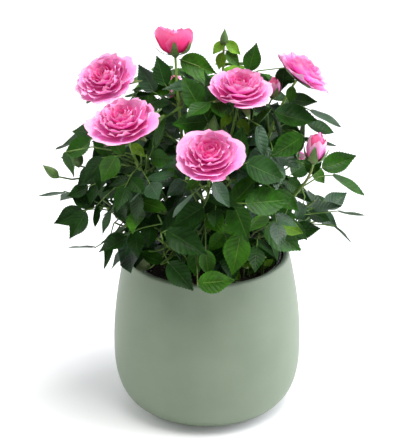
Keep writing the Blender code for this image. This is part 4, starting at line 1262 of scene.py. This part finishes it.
def make_stalks(shoots, paint):
    """The side twigs, and the stalk that each leaf's leaflets stand on."""
    bundle = Bundle(1)
    for shoot in shoots.values():
        for twig in shoot.twigs:
            points = stretch(twig, 0, 0.98 * reach(twig), 8) + [twig[-1]]
            bundle.add(points, [TWIG_RADIUS * (1.0 - 0.35 * i / 8) for i in range(9)])
        for leaves, thick in ((shoot.leaves, 0.72), (shoot.fine, 0.55)):
            for stalk, *_ in leaves:
                foot = STALK_RADIUS * thick
                end = stalk[-1] + (stalk[-1] - stalk[-2]).normalized() * 2 * MM
                points = [stalk[0], at(stalk, 3 * MM)[0], *stalk[1:], end]
                bundle.add(points, [foot * 1.7, foot, foot * 0.9, foot * 0.75, foot * 0.4])
    keep(bundle.mesh(), "twigs_and_stalks", [paint], "green_cane")


# ---------------------------------------------------------------- leaves

def leaflet_outline(along):
    """A leaflet's half width at a place along it, in its lengths."""
    if along <= 0 or along >= 1:
        return 0.0
    taper = 1 - 0.50 * max(0.0, (along - 0.55) / 0.45) ** 1.2
    return LEAFLET_HALF_WIDTH * 0.97 * math.sin(math.pi * along**0.76) ** 0.78 * taper


def leaflet_shape(fold, curl, ripple, twist):
    """A leaflet with a toothed edge, folded along its midrib, its tip turned down."""
    bm = bmesh.new()
    bmesh.ops.create_grid(bm, x_segments=LEAFLET_ROWS, y_segments=4, size=1)
    rim = [e for e in bm.edges if all(abs(v.co.y) > 0.99 for v in e.verts)]
    bmesh.ops.bisect_edges(bm, edges=rim, cuts=2 * LEAFLET_TEETH // LEAFLET_ROWS - 1)
    lay_out(bm, lambda co: (co.x * 0.5 + 0.5, co.y * 0.5 + 0.5))
    for corner in bm.verts:
        x, y = corner.co.x * 0.5 + 0.5, corner.co.y
        half = leaflet_outline(x)
        if abs(y) > 0.99 and 0.03 < x < 0.985:
            tooth = round(x * 2 * LEAFLET_TEETH) % 2
            half += (0.016 if tooth else -0.010) * (1 - 0.45 * x)
            x += 0.012 if tooth else 0.0
        across = abs(y)
        wave = ripple * math.sin(7.5 * x + 2.1 * y) * across
        sink = fold * (1 - across) ** 1.25 * math.sin(math.pi * min(max(x, 0.02), 0.98)) ** 0.5
        tilt = twist * (x - 0.4) * y * half
        corner.co = (x - 0.10 * curl * x**3, y * half, wave + tilt - sink - curl * x**2.2)
    bmesh.ops.remove_doubles(bm, verts=bm.verts, dist=0.0001)
    return Shape(bm)


def leaflet_shapes():
    """Eight leaflets that differ in how they are folded, curled and waved."""
    chance = random.Random(5)
    shapes = []
    for k in range(8):
        fold = LEAFLET_FOLD * chance.uniform(0.7, 1.9)
        curl = LEAFLET_CURL * (0.2, 0.6, 1.0, 1.5)[k % 4]
        ripple = chance.uniform(0.006, 0.024)
        shapes.append(leaflet_shape(fold, curl, ripple, chance.uniform(-0.5, 0.5)))
    return shapes


# The greens of the leaves: blade, vein and gloss; the pale grey-green one is a painted sheen
LEAF_GREENS = {
    "deep": ((0.009, 0.044, 0.003), (0.055, 0.130, 0.025), 0.15),
    "blue": ((0.018, 0.062, 0.019), (0.090, 0.180, 0.075), 0.42),
    "mid": ((0.017, 0.078, 0.003), (0.095, 0.200, 0.030), 0.18),
    "fresh": ((0.031, 0.122, 0.003), (0.150, 0.280, 0.035), 0.18),
    "young": ((0.100, 0.225, 0.010), (0.230, 0.390, 0.060), 0.15),
    # pale: a grey-green that paints the sheen of leaves catching the light
    "pale": ((0.200, 0.245, 0.120), (0.280, 0.320, 0.180), 0.15),
}
LEAF_COLOURS = list(LEAF_GREENS)


def leaf_colour(spot, chance):
    """Which green a leaf has: bright low in the middle and on young growth, else deep."""
    low = max(0.0, 1 - (spot.z - POT_HEIGHT) / (50 * MM)) * max(0.0, 1 - abs(spot.x) / (60 * MM))
    high = max(0.0, (spot.z - 245 * MM) / (50 * MM))
    # The last weight deals out the pale green, a painted sheen, to a few leaves
    weights = (5.0, 2.0, 2.3 + 1.5 * low + high, 0.6 + 2.4 * low + 1.3 * high,
               0.10 + 0.5 * low, 0.03)
    return chance.choices(LEAF_COLOURS, weights)[0]


def make_leaves(shoots):
    """All leaflets in one piece, each leaf's in one of the greens."""
    shapes = leaflet_shapes()
    leaves = Gathering()
    chance = random.Random(23)
    for shoot in shoots.values():
        for stalk, leaflets, colour in shoot.leaves + shoot.fine:
            paint = LEAF_COLOURS.index(colour or leaf_colour(stalk[-1], chance))
            for matrix in leaflets:
                leaves.add(chance.choice(shapes), matrix, paint)
    paints = [leaf_green("leaf_" + name, *green) for name, green in LEAF_GREENS.items()]
    nodes = ["foliage_" + name for name in shoots]
    keep(leaves.mesh(), "leaves", paints, "rose_leaf", *nodes)


# ---------------------------------------------------------------- heads

def flat_grid(columns, rows, spread_of):
    """A flat petal of a few faces: across from -1 to 1, along from 0 to 1, and as its
    height the share of its width that it has there."""
    bm = bmesh.new()
    bmesh.ops.create_grid(bm, x_segments=columns, y_segments=rows, size=1)
    for corner in bm.verts:
        v = corner.co.y * 0.5 + 0.5
        corner.co = (corner.co.x, v, spread_of(v))
    lay_out(bm, lambda co: (co.x * 0.5 + 0.5, co.y))
    return Shape(bm)


def petal_spread(v):
    """A petal is narrow at its foot and broad to its round end."""
    spread = 0.26 + 0.74 * min(1.0, v / 0.74) ** 0.85
    return spread * (1 - 0.16 * max(0.0, (v - 0.8) / 0.2) ** 2)


def sepal_spread(v):
    """A sepal is broad at its foot and drawn out to a fine leafy tip."""
    spread = 0.62 + 0.38 * min(1.0, v / 0.22)
    spread *= (1 - max(0.0, (v - 0.22) / 0.78)) ** 0.85 + 0.05
    return spread + (0.10 * abs(math.sin(v * 26)) if 0.5 < v < 0.95 else 0.0)


def petal_points(grid, turn, foot, bulge, tip, half, wrap, curl, ruffle, phase, round_end=0.2):
    """A petal's corners about the head's +Z axis, in the head's radius.

    Its middle line bends from the foot past the bulge to the tip, each (radius, height);
    it wraps round the axis, its end curls out and down, and its edge is ruffled."""
    u, v = grid.points[:, 0], grid.points[:, 1]
    notch = 0.05 * math.cos(phase * 3)
    t = v * (1 - round_end * np.abs(u) ** 2.4 + notch * (1 - np.abs(u)) ** 2)
    s = 1 - t
    r = s * s * foot[0] + 2 * s * t * bulge[0] + t * t * tip[0]
    h = s * s * foot[1] + 2 * s * t * bulge[1] + t * t * tip[1]
    end = np.clip((t - 0.55) / 0.45, 0, 1) ** 2
    wave = ruffle * end * (np.sin(u * 4.6 + phase) + 0.55 * np.sin(u * 10.5 + 2.3 * phase))
    r = r + curl * end + 0.8 * wave
    h = h - 0.55 * curl * end * (1 + 0.5 * np.abs(u)) + wave * math.sin(phase * 5)
    bow = np.maximum(r, 0.10) / wrap
    swing = u * half * grid.points[:, 2] / bow
    x, y = r - bow * (1 - np.cos(swing)), bow * np.sin(swing)
    c, k = math.cos(turn), math.sin(turn)
    return np.stack([x * c - y * k, x * k + y * c, h], axis=1)


# Rings of an open bloom's petals from the heart out, in its radius: petals, foot, bulge
# and tip (radius, height), half width, wrap, curl, ruffle, paint
OPEN_RINGS = (
    (3, (0.02, 0.20), (0.10, 0.44), (0.03, 0.58), 0.13, 1.00, 0.00, 0.010, 0),
    (4, (0.03, 0.19), (0.18, 0.44), (0.11, 0.61), 0.18, 1.00, 0.01, 0.016, 0),
    (5, (0.04, 0.18), (0.27, 0.43), (0.20, 0.64), 0.22, 0.95, 0.02, 0.024, 0),
    (6, (0.04, 0.17), (0.37, 0.40), (0.30, 0.65), 0.25, 0.95, 0.03, 0.034, 0),
    (7, (0.05, 0.16), (0.47, 0.35), (0.40, 0.64), 0.28, 0.90, 0.04, 0.042, 1),
    (7, (0.06, 0.14), (0.57, 0.29), (0.51, 0.61), 0.33, 0.85, 0.05, 0.048, 1),
    (7, (0.06, 0.11), (0.67, 0.21), (0.62, 0.56), 0.38, 0.80, 0.06, 0.052, 1),
    (7, (0.07, 0.07), (0.76, 0.12), (0.74, 0.48), 0.42, 0.72, 0.09, 0.055, 1),
    (6, (0.08, 0.02), (0.86, 0.01), (0.87, 0.35), 0.60, 0.62, 0.12, 0.050, 2),
)
SAUCER_RINGS = (
    (4, (0.02, 0.18), (0.10, 0.42), (0.05, 0.58), 0.12, 1.00, 0.00, 0.010, 0),
    (5, (0.03, 0.17), (0.20, 0.41), (0.16, 0.60), 0.17, 1.00, 0.01, 0.020, 0),
    (6, (0.04, 0.16), (0.32, 0.38), (0.30, 0.60), 0.24, 0.95, 0.02, 0.030, 0),
    (6, (0.04, 0.14), (0.45, 0.33), (0.45, 0.57), 0.34, 0.90, 0.03, 0.030, 1),
    (6, (0.05, 0.11), (0.60, 0.25), (0.60, 0.51), 0.44, 0.85, 0.05, 0.035, 1),
    (6, (0.06, 0.07), (0.73, 0.15), (0.76, 0.42), 0.52, 0.75, 0.07, 0.040, 1),
    (6, (0.08, 0.02), (0.86, 0.03), (0.91, 0.29), 0.58, 0.65, 0.09, 0.045, 2),
)
CUP_RINGS = (
    (4, (0.05, 0.30), (0.40, 0.65), (0.10, 1.36), 0.34, 1.00, 0.00, 0.02, 0),
    (4, (0.08, 0.25), (0.70, 0.50), (0.54, 1.46), 0.58, 1.00, 0.03, 0.05, 0),
    (4, (0.10, 0.12), (0.98, 0.30), (0.82, 1.44), 0.72, 0.95, 0.05, 0.04, 3),
    (4, (0.12, 0.04), (1.12, 0.14), (0.96, 1.56), 1.10, 0.95, 0.20, 0.03, 3),
)
BUD_RINGS = (
    (3, (0.10, 0.40), (0.80, 1.40), (0.08, 2.86), 0.60, 1.00, 0.00, 0.02, 0),
    (5, (0.15, 0.25), (1.12, 1.10), (0.34, 2.76), 0.62, 1.00, 0.05, 0.07, 3),
    (5, (0.20, 0.12), (1.28, 0.90), (0.62, 2.50), 0.66, 0.95, 0.16, 0.09, 1),
)
GREEN_RINGS = (
    (3, (0.10, 0.30), (1.15, 0.90), (0.06, 2.10), 0.80, 1.00, 0.00, 0.01, 1),
)
HEAD_RINGS = {"open": OPEN_RINGS, "saucer": SAUCER_RINGS, "cup": CUP_RINGS, "bud": BUD_RINGS,
              "green": GREEN_RINGS}

# Open blooms that have gone flat, and are seen from the side
SAUCERS = ("right_upper", "back_right")

# Sepals as the rings above: foot, bulge, tip, half width and curl; then how far their tips
# stray up or down, and the hip's size
SEPALS = {
    "open": ((0.10, -0.06), (0.52, -0.06), (0.92, 0.10), 0.22, 0.10, 0.14, 1.0),
    "saucer": ((0.10, -0.06), (0.64, -0.06), (0.80, 0.16), 0.24, 0.04, 0.03, 1.0),
    "cup": ((0.14, -0.04), (1.12, 0.02), (1.05, 0.78), 0.26, 0.08, 0.08, 1.0),
    "bud": ((0.22, -0.02), (1.36, 0.45), (0.98, 2.10), 0.56, 0.16, 0.06, 0.85),
    "green": ((0.28, -0.10), (1.70, 0.60), (0.02, 3.60), 1.00, -0.05, 0.02, 0.62),
}

# The round green hip under a head, in its radius: radius and height
HIP_PROFILE = ((0.30, -0.78), (0.42, -0.62), (0.80, -0.30), (1.00, 0.10), (0.86, 0.46),
               (0.0, 0.60))

# Petals: throat, body and edge, from the heart out and for cups
PETAL_PINKS = {
    "petal_heart": ((0.67, 0.003, 0.190), (0.85, 0.058, 0.370), (0.93, 0.370, 0.630)),
    "petal_middle": ((0.72, 0.005, 0.260), (0.88, 0.225, 0.590), (0.94, 0.520, 0.730)),
    "petal_outer": ((0.76, 0.018, 0.330), (0.89, 0.330, 0.670), (0.94, 0.580, 0.760)),
    "petal_cup": ((0.72, 0.008, 0.120), (0.88, 0.060, 0.240), (0.93, 0.200, 0.420)),
}

# A painted glow: the petals give off light in their throat colour, standing in for light that
# comes through the petals into the folds between them
PAINTED_PETAL_GLOW = 0.06

# Hips and sepals, then green buds: blade and tint
BUD_GREENS = {
    "calyx_green": ((0.060, 0.130, 0.020), (0.190, 0.110, 0.050)),
    "bud_green": ((0.050, 0.115, 0.018), (0.120, 0.180, 0.045)),
}


def add_petals(petals, petal, upright, rings, width, chance):
    """A head's petals, ring by ring, each a little unlike the next; a cup's outer ring is
    turned with a gap to the front."""
    spot = upright @ Matrix.Scale(width / 2, 4)
    start = chance.uniform(0, math.tau)
    if rings is CUP_RINGS:
        front = upright.to_3x3().inverted() @ Vector((0, -1, 0))
        last = (len(rings) - 1) * RING_TWIST - math.pi / rings[-1][0]
        start = math.atan2(front.y, front.x) - last
    for ring, (count, foot, bulge, tip, half, wrap, curl, ruffle, paint) in enumerate(rings):
        for k in range(count):
            turn = start + ring * RING_TWIST + math.tau * (k + chance.uniform(-0.15, 0.15)) / count
            end = (tip[0] * chance.uniform(0.92, 1.06), tip[1] * chance.uniform(0.88, 1.07))
            middle = (bulge[0] * chance.uniform(0.95, 1.05), bulge[1])
            points = petal_points(petal, turn, foot, middle, end,
                                  half * chance.uniform(0.9, 1.15), wrap,
                                  curl * chance.uniform(0.3, 1.5),
                                  ruffle * chance.uniform(0.6, 1.6), chance.uniform(0, math.tau))
            petals.add(petal, spot, paint, points)


def add_calyx(green, hip, sepal, upright, kind, width, chance):
    """The hip and the five sepals of a head."""
    foot, bulge, tip, half, curl, stray, size = SEPALS[kind]
    paint = 1 if kind == "green" else 0
    green.add(hip, upright @ Matrix.Scale(HIP_RADIUS * size, 4), paint)
    start = chance.uniform(0, math.tau)
    for k in range(5):
        turn = start + math.tau * (k + chance.uniform(-0.12, 0.12)) / 5
        end = (tip[0] * chance.uniform(0.9, 1.1), tip[1] + chance.uniform(-1, 1) * stray)
        points = petal_points(sepal, turn, foot, bulge, end, half, 1.0,
                              curl * chance.uniform(0.2, 1.6), 0.02, k * 1.7, 0.0)
        green.add(sepal, upright @ Matrix.Scale(width / 2, 4), paint, points)


def make_heads(shoots):
    """Every bloom and bud: petals in one piece, hips and sepals in another."""
    petal = flat_grid(8, 6, petal_spread)
    sepal = flat_grid(2, 9, sepal_spread)
    hip = Shape(spun(HIP_PROFILE, 12))
    petals = Gathering()
    green = Gathering()
    chance = random.Random(31)
    nodes = []
    for name, shoot in shoots.items():
        heads = list(shoot.buds)
        if shoot.kind:
            heads.append((shoot.head_spot(), shoot.kind, shoot.width))
            nodes.append(("bloom_" if shoot.kind in ("open", "cup") else "bud_") + name)
        for spot, form, wide in heads:
            if name in SAUCERS and form == "open":
                form = "saucer"
            upright = spot @ Matrix.Rotation(math.radians(90), 4, "Y")
            add_petals(petals, petal, upright, HEAD_RINGS[form], wide, chance)
            add_calyx(green, hip, sepal, upright, form, wide, chance)
    pinks = [petal_pink(name, *colours) for name, colours in PETAL_PINKS.items()]
    keep(petals.mesh(), "petals", pinks, "pink_petal", *nodes)
    greens = [sepal_green(name, *colours) for name, colours in BUD_GREENS.items()]
    keep(green.mesh(), "hips_and_sepals", greens, "green_bud")


# ---------------------------------------------------------------- the setting

CAMERA_RISE = math.radians(24.17)
CAMERA_AWAY = 1.6
CAMERA_AIM = Vector((0.00078, 0.0, 0.1552))
CAMERA_LENS = 168.05
SENSOR_WIDTH = 36
SKY_COLOUR = (0.95, 0.97, 1.0, 1.0)
SKY_FRONT = 0.28
SKY_BACK = 0.90
FLOOR_RADIUS = 6.0
FLOOR_LEVEL = -0.2 * MM
FLOOR_GLOW = 0.08

# The lights: name, place (m), size (m), power (W) and colour
LIGHTS = (
    ("key_top", (0.35, -0.35, 2.0), 1.3, 42, (1.0, 0.99, 0.97)),
    ("side_right", (1.7, 0.15, 0.75), 2.0, 40, (0.97, 0.96, 1.08)),
    ("side_left", (-1.8, 0.5, 0.9), 1.2, 9, (1.0, 1.0, 1.0)),
)


def soft_light(name, spot, size, watts, colour):
    """A round lamp that faces the plant."""
    light = bpy.data.lights.new(name, "AREA")
    light.shape = "DISK"
    light.size = size
    light.energy = watts
    light.color = colour
    lamp = link(name, light)
    lamp.location = spot
    lamp.rotation_euler = (Vector(spot) - CAMERA_AIM).to_track_quat("Z", "Y").to_euler()


def set_camera():
    """The camera, in front of the plant and a little above it."""
    scene = bpy.context.scene
    away = Vector((0, -math.cos(CAMERA_RISE), math.sin(CAMERA_RISE)))
    camera = link("camera", bpy.data.cameras.new("camera"))
    camera.location = CAMERA_AIM + away * CAMERA_AWAY
    camera.rotation_euler = away.to_track_quat("Z", "Y").to_euler()
    camera.data.lens = CAMERA_LENS
    camera.data.sensor_width = SENSOR_WIDTH
    scene.camera = camera
    scene.view_settings.view_transform = "Standard"


def set_sky():
    """A studio sky that is brighter behind the plant."""
    sky = bpy.data.worlds.new("studio")
    sky.use_nodes = True
    air = Nodes(sky.node_tree)
    background = air.tree.nodes["Background"]
    background.inputs["Color"].default_value = SKY_COLOUR
    side = air.split(air.node("ShaderNodeTexCoord", {}, {}, "Generated"))[1]
    glow = SKY_FRONT + side.between(-0.7, 0.5) * (SKY_BACK - SKY_FRONT)
    air.tree.links.new(glow.socket, background.inputs["Strength"])
    bpy.context.scene.world = sky


def set_floor():
    """A pale floor that glows a little, which keeps its shadows faint."""
    bm = bmesh.new()
    bmesh.ops.create_circle(bm, cap_ends=True, segments=64, radius=FLOOR_RADIUS)
    floor = link("floor", to_mesh(bm))
    pale = Finish("pale_floor", {"Roughness": 0.9, "Specular IOR Level": 0.1,
                                 "Emission Color": (1.0, 1.0, 1.0, 1.0),
                                 "Emission Strength": FLOOR_GLOW})
    pale.feed("Base Color", pale.mix(pale.grain(3), (0.90, 0.90, 0.90), (0.92, 0.92, 0.92)))
    floor.data.materials.append(pale.material)
    floor.location.z = FLOOR_LEVEL


def main():
    shoots, space = grow()
    grow_bracts(shoots)
    grow_finer(shoots, space)
    grow_sprouts(shoots)
    bark = cane_bark()
    make_pot()
    make_liner()
    make_soil()
    make_root_crown(bark)
    make_canes(shoots, bark)
    make_prickles(shoots, bark)
    make_stalks(shoots, leaf_stalk())
    make_leaves(shoots)
    make_heads(shoots)
    set_camera()
    set_sky()
    set_floor()
    for light in LIGHTS:
        soft_light(*light)


main()
